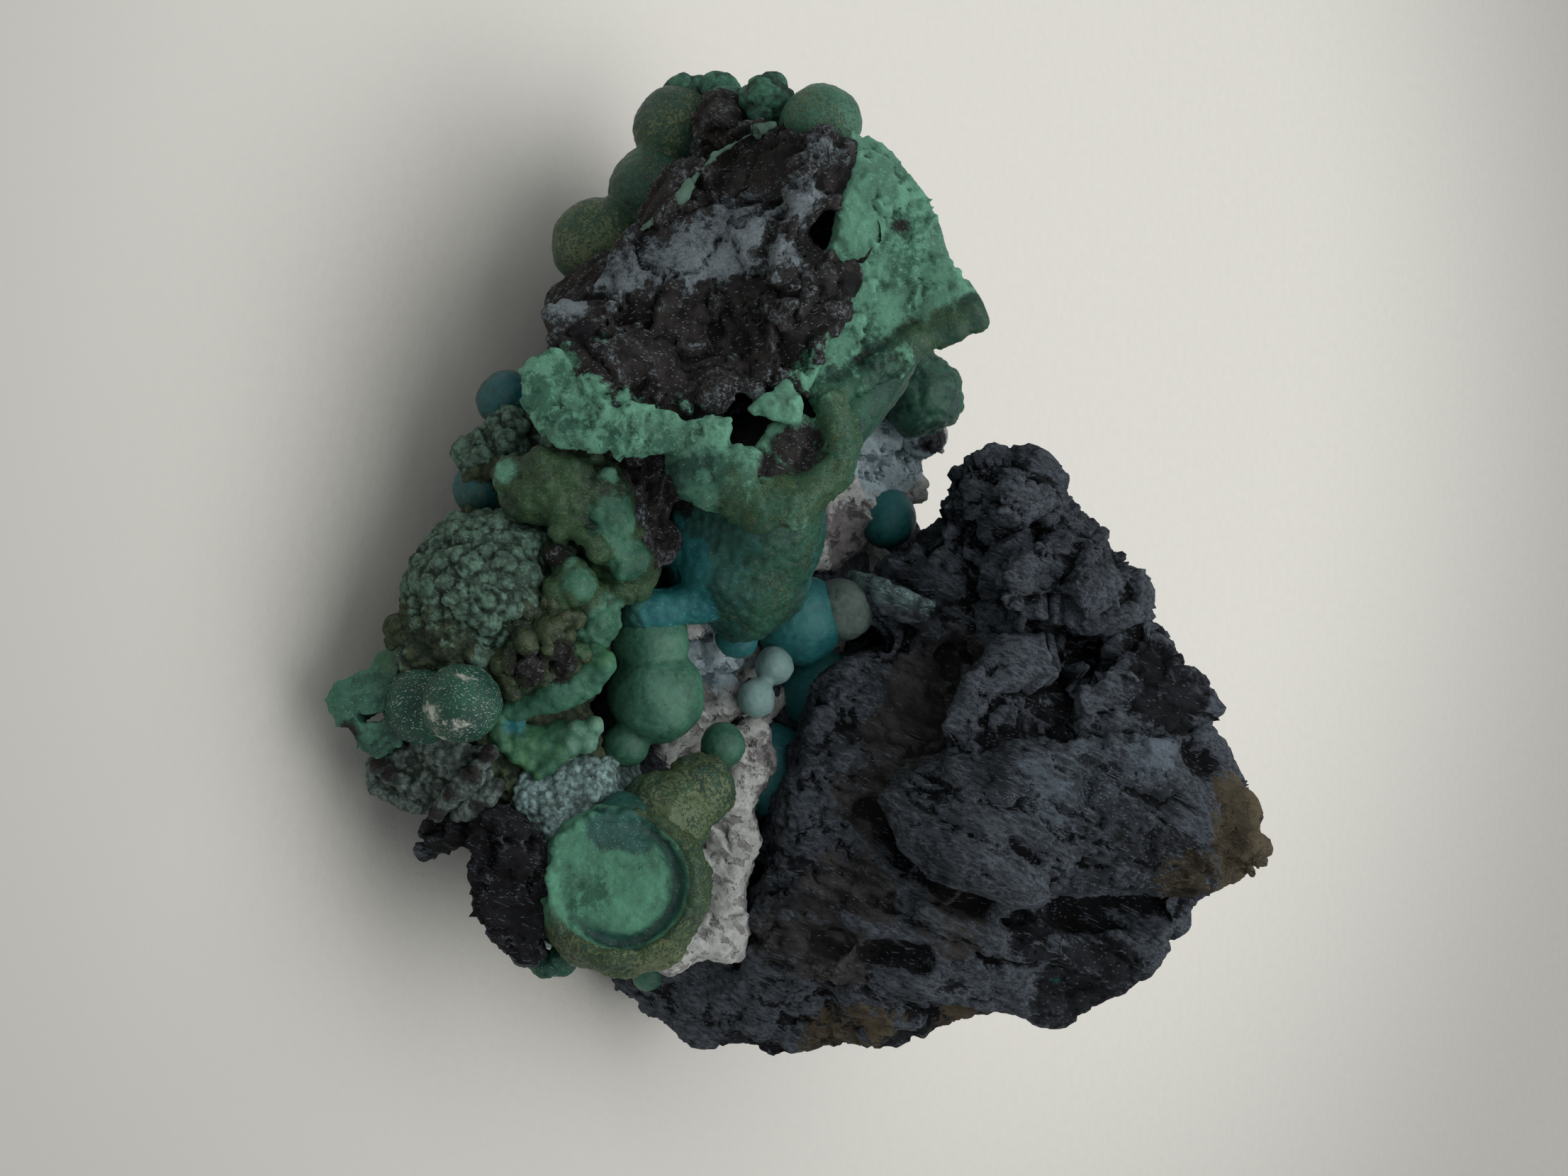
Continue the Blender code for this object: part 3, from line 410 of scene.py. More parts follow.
# Deep openings: (mouth x, y, z, radius) down to (x, y, z, radius)
PITS = {
    "slab_crack": [
        (10.8, 16.8, 40, 0.5), (10.9, 14, 38.2, 0.7), (11.1, 12, 36, 0.7), (11.2, 10.4, 33.6, 0.4),
    ],
    "slab_crease": [(19.4, 6.2, 30, 0.8), (20.6, 5.6, 27.4, 1), (21.8, 4.5, 25, 0.7)],
    "crest_pit": [(-19.8, -4.6, 27.6, 1.7), (-18.4, -0.6, 24.2, 1.3)],
    "side_pit": [(-8.9, -10.4, 25.2, 1.3), (-10.4, -6.2, 21.6, 0.9)],
    "saddle_gap": [(1.4, -17.4, 14, 0.8), (-1.4, -15.8, 12.6, 0.8)],
}

# Low lumps on the crag's face: the rope ridge and the left shoulder
CRAG_LUMPS = [
    [(-26.1, -4.1, 26.6, 0.7), (-22, -5.9, 26, 0.9), (-18.3, -6.9, 25.7, 0.9), (-14.2, -7.9, 26.1, 0.7)],
    [(-28, -2.6, 17, 2), (-26.6, -4.2, 20, 1.8), (-27.3, -1.6, 22.2, 1.7)],
]

# Grooves in the slab's face: along the bulge's right side, and the crease that runs down under it
SLAB_GROOVES = [
    [(22.2, 17.5, 39), (22.3, 15.3, 36.9), (22.3, 12, 34.5), (22.1, 7, 32.5)],
    [(22.1, 7, 32.5), (21, 6, 29), (19, 5, 26), (16.5, 5.3, 23)],
    [(26, 5, 27), (25, 3.5, 22), (24, 2.6, 18)],
]

# The pale blade that hangs from the slab
SLAB_BLADE = [
    (2.8, 9.2, 24.8, 0.4), (2.3, 8, 23.7, 0.55), (1.8, 7.6, 22.2, 0.6), (1.3, 7.8, 20.4, 0.5),
    (0.9, 8.4, 18.8, 0.35),
]

# The rounded top of the slab's peak
SLAB_TOP = [(15.8, 18.8, 42.2, 1.1), (17.4, 19.2, 42.5, 1.1), (19.2, 19, 42.3, 1)]

# Two ways that stray fibres lie, and how much thinner than long they are
FIBRE_ANGLES = ((0.3, 0.5, 0.2), (1.1, -0.4, 0.9))
FIBRE_SQUEEZE = (5.0, 5.0, 0.6)

# The middle of the pool of light painted into the table's tone, in millimetres
PAINTED_LIGHT_MIDDLE = (-25.0, 50.0, 0.0)

# The stage, in metres: the table just under the base, the lights, and the camera, rolled a quarter turn
TABLE_LEVEL = -0.00005
TABLE_GRAIN = 0.05 * MM
AIM = Vector((0.00175, 0.0, 0.020))
CAMERA_DISTANCE = 0.195
ELEVATION = math.radians(40)
LENS = 70
SENSOR_WIDTH = 36
WINDOW_PLACE = (0.02, 0.05, 0.32)
WINDOW_SIZE = 0.42
FILL_PLACE = (-0.30, -0.25, 0.35)
FILL_SIZE = 0.40
ROOM_COLOUR = (0.92, 0.97, 1.0, 1.0)

# The cut ball: its middle, the direction that its broken face looks, and half its section from its rim to the
# middle of the mint disc, as (distance from its axis, height along the axis)
CUT_BALL = (20.4, -11.4, 16.5)
CUT_BALL_FACES = (-0.25, -0.72, 0.66)
CUT_BALL_RADIUS = 5.3
CUT_BALL_RIM = 4.55
CUT_BALL_FLAT = 2.5
CUT_BALL_TOP = math.radians(65)
BACK_RINGS = 24
SPOKES = 72
CUT_BALL_SECTION = [
    (4.3, 2.75), (4.05, 2.45), (3.85, 1.9), (3.5, 1.65), (3.2, 1.85), (2.95, 2.3), (2.6, 2.5), (1.5, 2.6),
    (0.7, 2.55),
]

# Relief of the broken rock: blocks longer up the rock than across it, over wider lumps
BLOCK_WIDTH = 4.6
BLOCK_STRETCH = 0.55
BLOCK_BLEND = 0.12
BLOCK_HEIGHT = 2.0
BLOCK_SHUFFLE = 7.3
LUMP_WIDTH = 6.5
LUMP_HEIGHT = 0.7
CRACK_WIDTH = 0.08
WARP = 0.45
LAYER_SLOPE = 0.25

# The way that the slab's fibres and ridges run, and how much longer than wide they are
STRIKE = Vector((0.40, 0.30, 0.86)).normalized()
STRIKE_STRETCH = 0.28

# Relief of the growths
BUBBLE_LEAST = 0.42
BUBBLE_SPREAD = 0.35

# How wide and how deep the slab's grooves are
GROOVE_SIZE = 1.5

# How far a point stands out of its surroundings, in millimetres, for the stand attribute to reach 0 or 1
STAND_RANGE = 0.22
STAND_PASSES = 10


# ---------------------------------------------------------------------------------------------- Shapes


def hull_into(mesh, corners):
    """Adds the convex hull of these points to a bmesh."""
    verts = [mesh.verts.new(Vector(c)) for c in corners]
    made = bmesh.ops.convex_hull(mesh, input=verts)
    spare = {g for g in made["geom_interior"] + made["geom_unused"] if isinstance(g, bmesh.types.BMVert)}
    bmesh.ops.delete(mesh, geom=list(spare), context="VERTS")


def ball_points(centre, radius, detail=3):
    """Points evenly over a sphere."""
    shell = bmesh.new()
    bmesh.ops.create_icosphere(shell, subdivisions=detail, radius=radius)
    points = [Vector(centre) + v.co for v in shell.verts]
    shell.free()
    return points


def mass_into(mesh, balls):
    """Adds one smooth mass: the hull of (x, y, z, radius) balls."""
    hull_into(mesh, [point for *centre, radius in balls for point in ball_points(centre, radius)])


def rib_into(mesh, balls):
    """Adds a rounded rib that runs from ball to ball."""
    for pair in zip(balls, balls[1:]):
        mass_into(mesh, pair)


def object_from(name, mesh):
    """Makes a Blender object of a bmesh."""
    bmesh.ops.recalc_face_normals(mesh, faces=mesh.faces)
    data = bpy.data.meshes.new(name)
    mesh.to_mesh(data)
    mesh.free()
    made = bpy.data.objects.new(name, data)
    bpy.context.scene.collection.objects.link(made)
    return made


def bake_modifiers(piece):
    """Replaces a piece's mesh by what its modifiers make of it."""
    bpy.context.view_layer.update()
    evaluated = piece.evaluated_get(bpy.context.evaluated_depsgraph_get())
    old = piece.data
    piece.data = bpy.data.meshes.new_from_object(evaluated)
    piece.modifiers.clear()
    bpy.data.meshes.remove(old)


def wrap(piece, grid, smooth=2):
    """Wraps a piece's overlapping lumps in one skin of even faces."""
    remesh = piece.modifiers.new("skin", "REMESH")
    remesh.mode = "VOXEL"
    remesh.voxel_size = grid
    soften = piece.modifiers.new("soften", "SMOOTH")
    soften.iterations = smooth
    bake_modifiers(piece)


def drop_bubbles(piece):
    """Removes the sealed hollows that wrapping leaves inside: the shells whose faces look inwards."""
    mesh = bmesh.new()
    mesh.from_mesh(piece.data)
    unseen = set(mesh.verts)
    while unseen:
        stack = [unseen.pop()]
        shell = []
        while stack:
            vertex = stack.pop()
            shell.append(vertex)
            for edge in vertex.link_edges:
                other = edge.other_vert(vertex)
                if other in unseen:
                    unseen.remove(other)
                    stack.append(other)
        outwards = sum(v.co.dot(v.normal) * sum(f.calc_area() for f in v.link_faces) for v in shell)
        if outwards < 0:
            bmesh.ops.delete(mesh, geom=shell, context="VERTS")
    mesh.to_mesh(piece.data)
    mesh.free()


def subtract(piece, cutter):
    """Cuts one object out of another for good."""
    cut = piece.modifiers.new("cut", "BOOLEAN")
    cut.operation = "DIFFERENCE"
    cut.object = cutter
    bake_modifiers(piece)
    bpy.data.objects.remove(cutter)


def cut_level(piece):
    """Cuts a piece off flat at the base."""
    mesh = bmesh.new()
    mesh.from_mesh(piece.data)
    whole = mesh.verts[:] + mesh.edges[:] + mesh.faces[:]
    bmesh.ops.bisect_plane(mesh, geom=whole, plane_co=(0, 0, 0), plane_no=(0, 0, 1), clear_inner=True)
    bmesh.ops.holes_fill(mesh, edges=[e for e in mesh.edges if e.is_boundary])
    bmesh.ops.triangulate(mesh, faces=[f for f in mesh.faces if len(f.verts) > 4])
    mesh.to_mesh(piece.data)
    mesh.free()


def skin_of(piece):
    """The places and the normals of a piece's vertices, a row for each."""
    places = np.empty((len(piece.data.vertices), 3), np.float32)
    normals = np.empty_like(places)
    piece.data.vertices.foreach_get("co", places.ravel())
    piece.data.vertex_normals.foreach_get("vector", normals.ravel())
    return places, normals


def raise_skin(piece, relief):
    """Moves each vertex out along its normal by a relief function's height."""
    places, normals = skin_of(piece)
    heights = np.fromiter((relief(Vector(place)) for place in places), np.float32, len(places))
    piece.data.vertices.foreach_set("co", (places + normals * heights[:, None]).ravel())
    piece.data.update()


def keep_attribute(piece, name, values):
    """Stores one number per vertex for the materials."""
    layer = piece.data.attributes.new(name, "FLOAT", "POINT")
    layer.data.foreach_set("value", np.asarray(values, np.float32))


def keep_stand(piece):
    """Stores how far each point stands out: 0 in a crease, 0.5 on the flat, 1 on an edge."""
    places, normals = skin_of(piece)
    count = len(places)
    ends = np.empty(len(piece.data.edges) * 2, np.int32)
    piece.data.edges.foreach_get("vertices", ends)
    here, there = np.concatenate((ends[0::2], ends[1::2])), np.concatenate((ends[1::2], ends[0::2]))
    neighbours = np.maximum(np.bincount(here, minlength=count), 1)
    softened = places.astype(np.float64)
    for _ in range(STAND_PASSES):
        sums = [np.bincount(here, weights=softened[there, axis], minlength=count) for axis in range(3)]
        softened = np.stack(sums, 1) / neighbours[:, None]
    proud = ((places - softened) * normals).sum(1)
    keep_attribute(piece, "stand", np.clip(0.5 + proud / (2 * STAND_RANGE), 0, 1))


def dress(piece, material):
    """Scales a finished piece to metres, gives it its material and ties it to the frame."""
    piece.data.transform(Matrix.Scale(MM, 4))
    piece.data.materials.clear()
    piece.data.materials.append(material)
    piece.data.shade_smooth()
    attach(piece, BODY)
    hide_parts(NODE)


# ---------------------------------------------------------------------------------------------- Relief


def clamp(value):
    """The value, kept from 0 to 1."""
    return min(1.0, max(0.0, value))


def ledge_height(point):
    """How far broken rock stands out at a point: blocks at odd heights over coarse lumps."""
    upright = Vector((point.x, point.y * BLOCK_STRETCH, point.z * BLOCK_STRETCH)) / BLOCK_WIDTH
    distances, places = noise.voronoi(upright)
    nearest, second = (noise.noise(place * BLOCK_SHUFFLE) for place in places[:2])
    share = min(1.0, (distances[1] - distances[0]) / BLOCK_BLEND) / 2
    block = nearest * (0.5 + share) + second * (0.5 - share)
    return BLOCK_HEIGHT * block + LUMP_HEIGHT * noise.fractal(point / LUMP_WIDTH, 1.0, 2.0, 3)


def facets(point, width, height, lean, crack=0.0):
    """Broken facets: each cell has its own height and lean, and is parted from the next by a crack."""
    spot = point / width
    torn = spot + noise.noise_vector(spot * 1.9) * WARP + noise.noise_vector(spot * 5.3) * (WARP / 3)
    distances, places = noise.voronoi(torn)
    key = places[0] * BLOCK_SHUFFLE
    slope = noise.noise_vector(key).dot(spot - places[0]) * width * lean
    gap = min(1.0, (distances[1] - distances[0]) / CRACK_WIDTH)
    return height * noise.noise(key) + slope - crack * (1.0 - gap)


def layers(point, width, depth, step):
    """Thin layers broken off one below the other: flats that end in steep edges."""
    level = noise.fractal(point / width, 1.2, 2.0, 2) * depth / step
    share = level - math.floor(level)
    edge = clamp((share - 0.85) / 0.15)
    return step * (math.floor(level) + LAYER_SLOPE * share + (1.0 - LAYER_SLOPE) * edge)


def bubble(point, width):
    """A rounded bump for each cell, from 0 in the creases to 1 on top."""
    distances, places = noise.voronoi(point / width)
    size = BUBBLE_LEAST + BUBBLE_SPREAD * abs(noise.noise(places[0] * BLOCK_SHUFFLE)) * 2
    return math.sqrt(max(0.0, 1.0 - (distances[0] / size) ** 2))


def grain(point, size, height, falloff=0.8, step=2.0, octaves=3):
    """A fine crumb; each finer octave is smaller by the step."""
    return height * noise.fractal(point / size, falloff, step, octaves)


def along_strike(point):
    """Squeezes space along the slab's strike, so that what is round there becomes long."""
    return point - STRIKE * (point.dot(STRIKE) * (1.0 - STRIKE_STRETCH))


def near(point, centre, radius):
    """1 at a place, falling softly to 0 at a distance of radius."""
    share = max(0.0, 1.0 - (point - Vector(centre)).length / radius)
    return share * share * (3.0 - 2.0 * share)


def line_distance(point, line):
    """How far a point is from a line of places."""
    least = math.inf
    for start, end in zip(line, line[1:]):
        start, run = Vector(start), Vector(end) - Vector(start)
        share = clamp((point - start).dot(run) / run.length_squared)
        least = min(least, (point - start - run * share).length)
    return least


def slab_height(point):
    """The slab's face: blocks on the left, long ridges on the right, a smooth recess and a lumpy lip."""
    long = along_strike(point)
    ridged = clamp((point.x - 10.0) / 3.0)
    blade = clamp(2.6 - line_distance(point, [station[:3] for station in SLAB_BLADE]))
    smooth = max(near(point, (9, 9, 25), 7.0), near(point, (8, 15.5, 38.5), 4.5), blade)
    lip = clamp((24.5 - point.z) / 3.0) * (point.x > 6.0)
    blocky = facets(point, 3.8, 1.8, 0.40, 0.35) + facets(point, 1.4, 0.28, 0.3)
    furrows = 1.3 * (0.25 - abs(noise.noise(long / 3.4))) + facets(long, 2.2, 0.5, 0.3, 0.2)
    lumpy = 0.4 * bubble(point, 2.6) + facets(point, 1.6, 0.4, 0.35)
    broken = blocky * (1.0 - ridged) + furrows * ridged
    rough = broken * (1.0 - 0.7 * lip) + lumpy * lip
    groove = max(0.0, 1.0 - min(line_distance(point, line) for line in SLAB_GROOVES) / GROOVE_SIZE)
    face = rough * (1.0 - 0.85 * smooth) * (1.0 - groove) - GROOVE_SIZE * math.sqrt(groove)
    return face + grain(long, 0.6, 0.13, 0.75, 2.1, 4)


def crag_height(point):
    """The crag's face: broken flakes that stand at odd heights, and a fine crumb."""
    flakes = layers(point, 6.0, 1.8, 0.55) + facets(point, 4.4, 0.7, 0.30, 0.30)
    return flakes + grain(point, 0.5, 0.04, step=2.1)


def foot_height(point):
    """Blocks and chips, like the slab that the foot carries."""
    blocks = facets(point, 3.8, 1.5, 0.40, 0.35) + facets(point, 1.4, 0.3, 0.3)
    return blocks + grain(point, 0.9, 0.15, step=2.1)


def chip_height(point):
    """Chips and grains of broken rock."""
    return facets(point, 1.5, 0.4, 0.35) + grain(point, 0.7, 0.15, 0.7, 2.1, 4)


def shard_height(point):
    """Clean plane breaks with small steps."""
    planes = facets(point, 2.8, 0.8, 0.4, 0.1) + facets(point, 1.1, 0.2, 0.3)
    return planes + grain(point, 0.5, 0.05, step=2.1)


def floor_height(point):
    """A soft crust over uneven lumps."""
    lumps = 0.8 * noise.noise(point / 2.4) + facets(point, 1.9, 0.4, 0.3)
    return lumps + 0.10 * bubble(point, 0.7) + grain(point, 0.6, 0.15, step=2.1)


def drape_height(point):
    """A draped skin with gentle swells and a fine nap of bumps."""
    return 0.5 * noise.noise(point / 2.8) + 0.10 * bubble(point, 0.7) + grain(point, 0.5, 0.06, 0.9)


def druse_height(point):
    """Tiny balls in two sizes over gentle lumps."""
    return 0.34 * bubble(point, 1.25) + 0.14 * bubble(point, 0.62) + 0.5 * noise.noise(point / 2.6)


def fine_druse_height(point):
    """A crust of very small grains over gentle lumps."""
    return 0.20 * bubble(point, 0.8) + 0.10 * bubble(point, 0.45) + 0.5 * noise.noise(point / 2.0)


def facet_height(point):
    """Clean curved facets, with hardly any grain."""
    return facets(point, 3.0, 0.12, 0.12) + grain(point, 0.5, 0.04)


def satin_height(point):
    """The nearly smooth skin of a grown ball."""
    return 0.16 * noise.noise(point / 2.0) + grain(point, 0.5, 0.05, 0.9)


def knobbly_height(point):
    """Rounded knobs of odd sizes."""
    return 0.34 * bubble(point, 1.9) + 0.12 * bubble(point, 0.8) + grain(point, 0.8, 0.1, 0.9)


def cluster_height(point):
    """Small knobs crowded together."""
    return 0.32 * bubble(point, 1.1) + 0.12 * bubble(point, 0.55) + 0.3 * noise.noise(point / 1.8)


def torn_height(point):
    """Freshly broken malachite: large clean facets with small steps."""
    return facets(point, 2.4, 0.3, 0.22) + facets(point, 0.8, 0.08, 0.15) + grain(point, 0.5, 0.05)


def rim_height(point):
    """Torn on the crest and the plates, grown and wavy on the rolled fold."""
    rolled = near(point, (-4.5, -8, 27.5), 7.0)
    wavy = 0.8 * noise.noise(point / 2.1) + facets(point, 1.7, 0.3, 0.3) + grain(point, 0.5, 0.10)
    horn = near(point, (-15, 1.2, 33.6), 4.0)
    return (torn_height(point) * (1.0 - rolled) + wavy * rolled) * (1.0 - 0.85 * horn)


def knotty_height(point):
    """Grown lumps with small knots and broken crumbs on them."""
    return 0.30 * noise.noise(point / 1.6) + 0.16 * bubble(point, 0.9) + grain(point, 0.5, 0.10)


def cut_ball_height(point):
    """Smooth on the broken disc, knotty on the shell round it."""
    away = (point - Vector(CUT_BALL) - Vector(CUT_BALL_FACES).normalized() * CUT_BALL_FLAT).length
    outside = clamp((away - 3.7) / 0.8)
    return satin_height(point) * (1.0 - outside) + knotty_height(point) * outside


# ---------------------------------------------------------------------------------------------- Node trees


class Nodes:
    """Short calls for the nodes that the finishes of this stone use. Sizes are in millimetres."""

    def __init__(self, tree):
        self.tree = tree

    def wire(self, socket, value):
        """Links an output into a socket, or sets the socket to a number, colour or vector."""
        if isinstance(value, bpy.types.NodeSocket):
            self.tree.links.new(value, socket)
        elif socket.type == "RGBA":
            socket.default_value = (*value[:3], 1.0)
        else:
            socket.default_value = value

    def add(self, kind, inputs=None, **settings):
        """Adds a node with its settings, and wires its inputs, named or numbered."""
        made = self.tree.nodes.new(kind)
        for name, value in settings.items():
            setattr(made, name, value)
        for name, value in (inputs or {}).items():
            self.wire(made.inputs[name], value)
        return made

    def place(self):
        """The point's own place on the specimen, in millimetres."""
        return self.scaled(self.add("ShaderNodeTexCoord").outputs["Object"], 1 / MM)

    def scaled(self, vector, scale):
        made = self.add("ShaderNodeVectorMath", {"Vector": vector, "Scale": scale}, operation="SCALE")
        return made.outputs["Vector"]

    def value_of(self, attribute):
        return self.add("ShaderNodeAttribute", attribute_name=attribute).outputs["Fac"]

    def maths(self, operation, a, b=0.0):
        return self.add("ShaderNodeMath", {0: a, 1: b}, operation=operation).outputs[0]

    def vector_maths(self, operation, a, b):
        made = self.add("ShaderNodeVectorMath", {0: a, 1: b}, operation=operation)
        return made.outputs["Value" if operation in ("DISTANCE", "DOT_PRODUCT") else "Vector"]

    def noise(self, place, size, detail=3.0, roughness=0.6):
        return self.noise_at(place, 1 / size, detail, roughness)

    def noise_at(self, place, scale, detail, roughness):
        inputs = {"Vector": place, "Scale": scale, "Detail": detail, "Roughness": roughness}
        return self.add("ShaderNodeTexNoise", inputs).outputs["Fac"]

    def cells(self, place, scale):
        return self.add("ShaderNodeTexVoronoi", {"Vector": place, "Scale": scale}).outputs

    def ramp(self, value, low, high, start=0.0, end=1.0):
        """Turns a value's stretch from low to high into start to end, softly."""
        inputs = {"From Min": low, "From Max": high, "To Min": start, "To Max": end, "Value": value}
        return self.add("ShaderNodeMapRange", inputs, interpolation_type="SMOOTHSTEP").outputs["Result"]

    def mix(self, mask, a, b):
        return self.add("ShaderNodeMix", {0: mask, 6: a, 7: b}, data_type="RGBA").outputs[2]

    def blend(self, mask, a, b):
        """Mixes two numbers."""
        return self.add("ShaderNodeMix", {0: mask, 2: a, 3: b}).outputs[0]

    def part(self, mask, share):
        """A mask at less than full strength."""
        return self.maths("MULTIPLY", mask, share)

    def tint(self, colour, brightness):
        """A colour times a number."""
        grey = self.add("ShaderNodeCombineColor", dict.fromkeys(("Red", "Green", "Blue"), brightness))
        inputs = {0: 1.0, 6: colour, 7: grey.outputs["Color"]}
        return self.add("ShaderNodeMix", inputs, data_type="RGBA", blend_type="MULTIPLY").outputs[2]

    def two_tone(self, colour, value, low, high, dark, pale):
        """A colour that a value turns from darker to paler."""
        return self.mix(self.ramp(value, low, high), self.tint(colour, dark), self.tint(colour, pale))

    def over(self, base, value, low, high, share, colour, brightness=1.0):
        """Lays a colour over a base, as far as a value has come from low to high."""
        laid = colour if brightness == 1.0 else self.tint(colour, brightness)
        return self.mix(self.ramp(value, low, high, 0.0, share), base, laid)

    def shared(self, kind, **values):
        """Places a shared effect with its own values, and returns its outputs."""
        return self.add("ShaderNodeGroup", values, node_tree=shared_group(kind)).outputs


GREY = (0.2, 0.2, 0.2, 1.0)
WHERE = {"Place": None, "Long": None, "Stand": 0.5}
LOOK_OUTPUTS = ("Colour", "Roughness", "Height")


def new_group(name, inputs, outputs=LOOK_OUTPUTS):
    """An empty shader node group: inputs by name, with None for a place, and the names of its outputs."""
    group = bpy.data.node_groups.new(name, "ShaderNodeTree")
    for label, default in inputs.items():
        kind = "Vector" if default is None else "Color" if default is GREY else "Float"
        made = group.interface.new_socket(label, in_out="INPUT", socket_type="NodeSocket" + kind)
        if default is not None:
            made.default_value = default
    for label in outputs:
        kind = "Color" if label == "Colour" else "Float"
        group.interface.new_socket(label, in_out="OUTPUT", socket_type="NodeSocket" + kind)
    nodes = Nodes(group)
    return group, nodes, nodes.add("NodeGroupInput").outputs


def leave(nodes, group, *values):
    """Wires a group's outputs, in order, and returns the group."""
    nodes.add("NodeGroupOutput", dict(enumerate(values)))
    return group


def fibre_group():
    """Short pale fibres that lie on the skin in two directions."""
    group, nodes, entry = new_group("Stray fibres", {"Place": None, "Length": 0.7, "Cover": 0.5}, ("Mask",))
    masks = []
    for angle in FIBRE_ANGLES:
        inputs = {"Vector": entry["Place"], "Rotation": angle}
        turned = nodes.add("ShaderNodeVectorRotate", inputs, rotation_type="EULER_XYZ")
        thin = nodes.vector_maths("MULTIPLY", turned.outputs["Vector"], FIBRE_SQUEEZE)
        cells = nodes.cells(thin, nodes.maths("DIVIDE", 1.0, entry["Length"]))
        drawn = nodes.add("ShaderNodeSeparateColor", {"Color": cells["Color"]}).outputs["Red"]
        core = nodes.ramp(cells["Distance"], 0.30, 0.16)
        masks.append(nodes.maths("MULTIPLY", core, nodes.maths("LESS_THAN", drawn, entry["Cover"])))
    return leave(nodes, group, nodes.maths("MAXIMUM", *masks))


def dust_group():
    """Specks of dust or of another mineral, gathered in drifts."""
    group, nodes, entry = new_group("Dusting", {"Place": None, "Size": 3.0, "Cover": 0.5}, ("Mask",))
    drifts = nodes.noise(entry["Place"], 4.5, 3.0, 0.6)
    fine = nodes.noise_at(entry["Place"], entry["Size"], 4.0, 0.75)
    joined = nodes.maths("ADD", fine, nodes.part(drifts, 0.6))
    least = nodes.ramp(entry["Cover"], 0.0, 1.0, 1.08, 0.62)
    return leave(nodes, group, nodes.ramp(nodes.maths("SUBTRACT", joined, least), 0.0, 0.09))


def bubble_group():
    """A skin of tiny balls: a height that is rounded on top and creased between."""
    group, nodes, entry = new_group("Tiny balls", {"Place": None, "Size": 2.0}, ("Height", "Crease"))
    away = nodes.cells(nodes.scaled(entry["Place"], entry["Size"]), 1.0)["Distance"]
    dome = nodes.maths("SUBTRACT", 1.0, nodes.maths("MULTIPLY", away, away))
    return leave(nodes, group, dome, nodes.ramp(away, 0.45, 0.75))


def with_strands(nodes, base, place, size, cover, share, colour, brightness):
    """Lays stray fibres over a look."""
    mask = nodes.shared("fibres", Place=place, Length=size, Cover=cover)["Mask"]
    return nodes.mix(nodes.part(mask, share), base, nodes.tint(colour, brightness))


def rock_group():
    """Broken rock: a dark body, a paler crust in drifts, painted shade in its creases, edges paler partly by
    wear and partly by a painted highlight, pale specks and strands.
    """
    values = {"Dark": GREY, "Crust": GREY, "Cover": 0.5, "Strands": 0.3, "Lumps": 0.4}
    group, nodes, entry = new_group("Rock", WHERE | values)
    place, long, stand, dark, crust, cover, strands, lumps = (entry[name] for name in WHERE | values)
    coarse = nodes.noise(long, 1.1, 8.0, 0.72)
    fine = nodes.noise(long, 0.28, 6.0, 0.75)
    drift = nodes.noise(long, 3.4, 8.0, 0.72)
    wide = nodes.noise(place, 9.0, 4.0, 0.6)
    body = nodes.two_tone(dark, coarse, 0.36, 0.66, 0.35, 1.7)
    skin = nodes.two_tone(crust, fine, 0.36, 0.64, 0.35, 1.25)
    gathered = nodes.maths("ADD", nodes.maths("ADD", drift, nodes.part(stand, 0.35)), nodes.part(fine, 0.5))
    covered = nodes.maths("SUBTRACT", gathered, nodes.ramp(cover, 0.0, 1.0, 1.15, 0.70))
    base = nodes.mix(nodes.ramp(covered, 0.0, 0.07), body, skin)
    base = nodes.over(base, wide, 0.50, 0.34, 0.7, dark, 0.6)
    # Raised edges paler towards the crust: partly wear, partly a painted highlight.
    attribute_mask = nodes.maths("MULTIPLY", nodes.ramp(stand, 0.74, 0.98, 0.0, 0.6), nodes.ramp(fine, 0.48, 0.62))
    base = nodes.mix(attribute_mask, base, nodes.tint(crust, 1.3))
    # Painted shade: the creases darkened towards the dark body.
    base = nodes.over(base, stand, 0.34, 0.04, 0.8, dark, 0.15)
    base = nodes.over(base, fine, 0.36, 0.26, 0.8, dark, 0.25)
    specks = nodes.shared("dust", Place=place, Size=5.5, Cover=nodes.part(strands, 0.8))["Mask"]
    strewn = nodes.maths("MULTIPLY", specks, nodes.ramp(wide, 0.46, 0.60, 0.1, 0.5))
    base = nodes.mix(strewn, base, nodes.tint(crust, 2.2))
    base = with_strands(nodes, base, long, 0.75, strands, 0.45, crust, 2.2)
    height = nodes.maths("ADD", nodes.maths("MULTIPLY", coarse, lumps), nodes.part(fine, 0.18))
    return leave(nodes, group, base, nodes.ramp(drift, 0.3, 0.7, 0.75, 0.95), height)


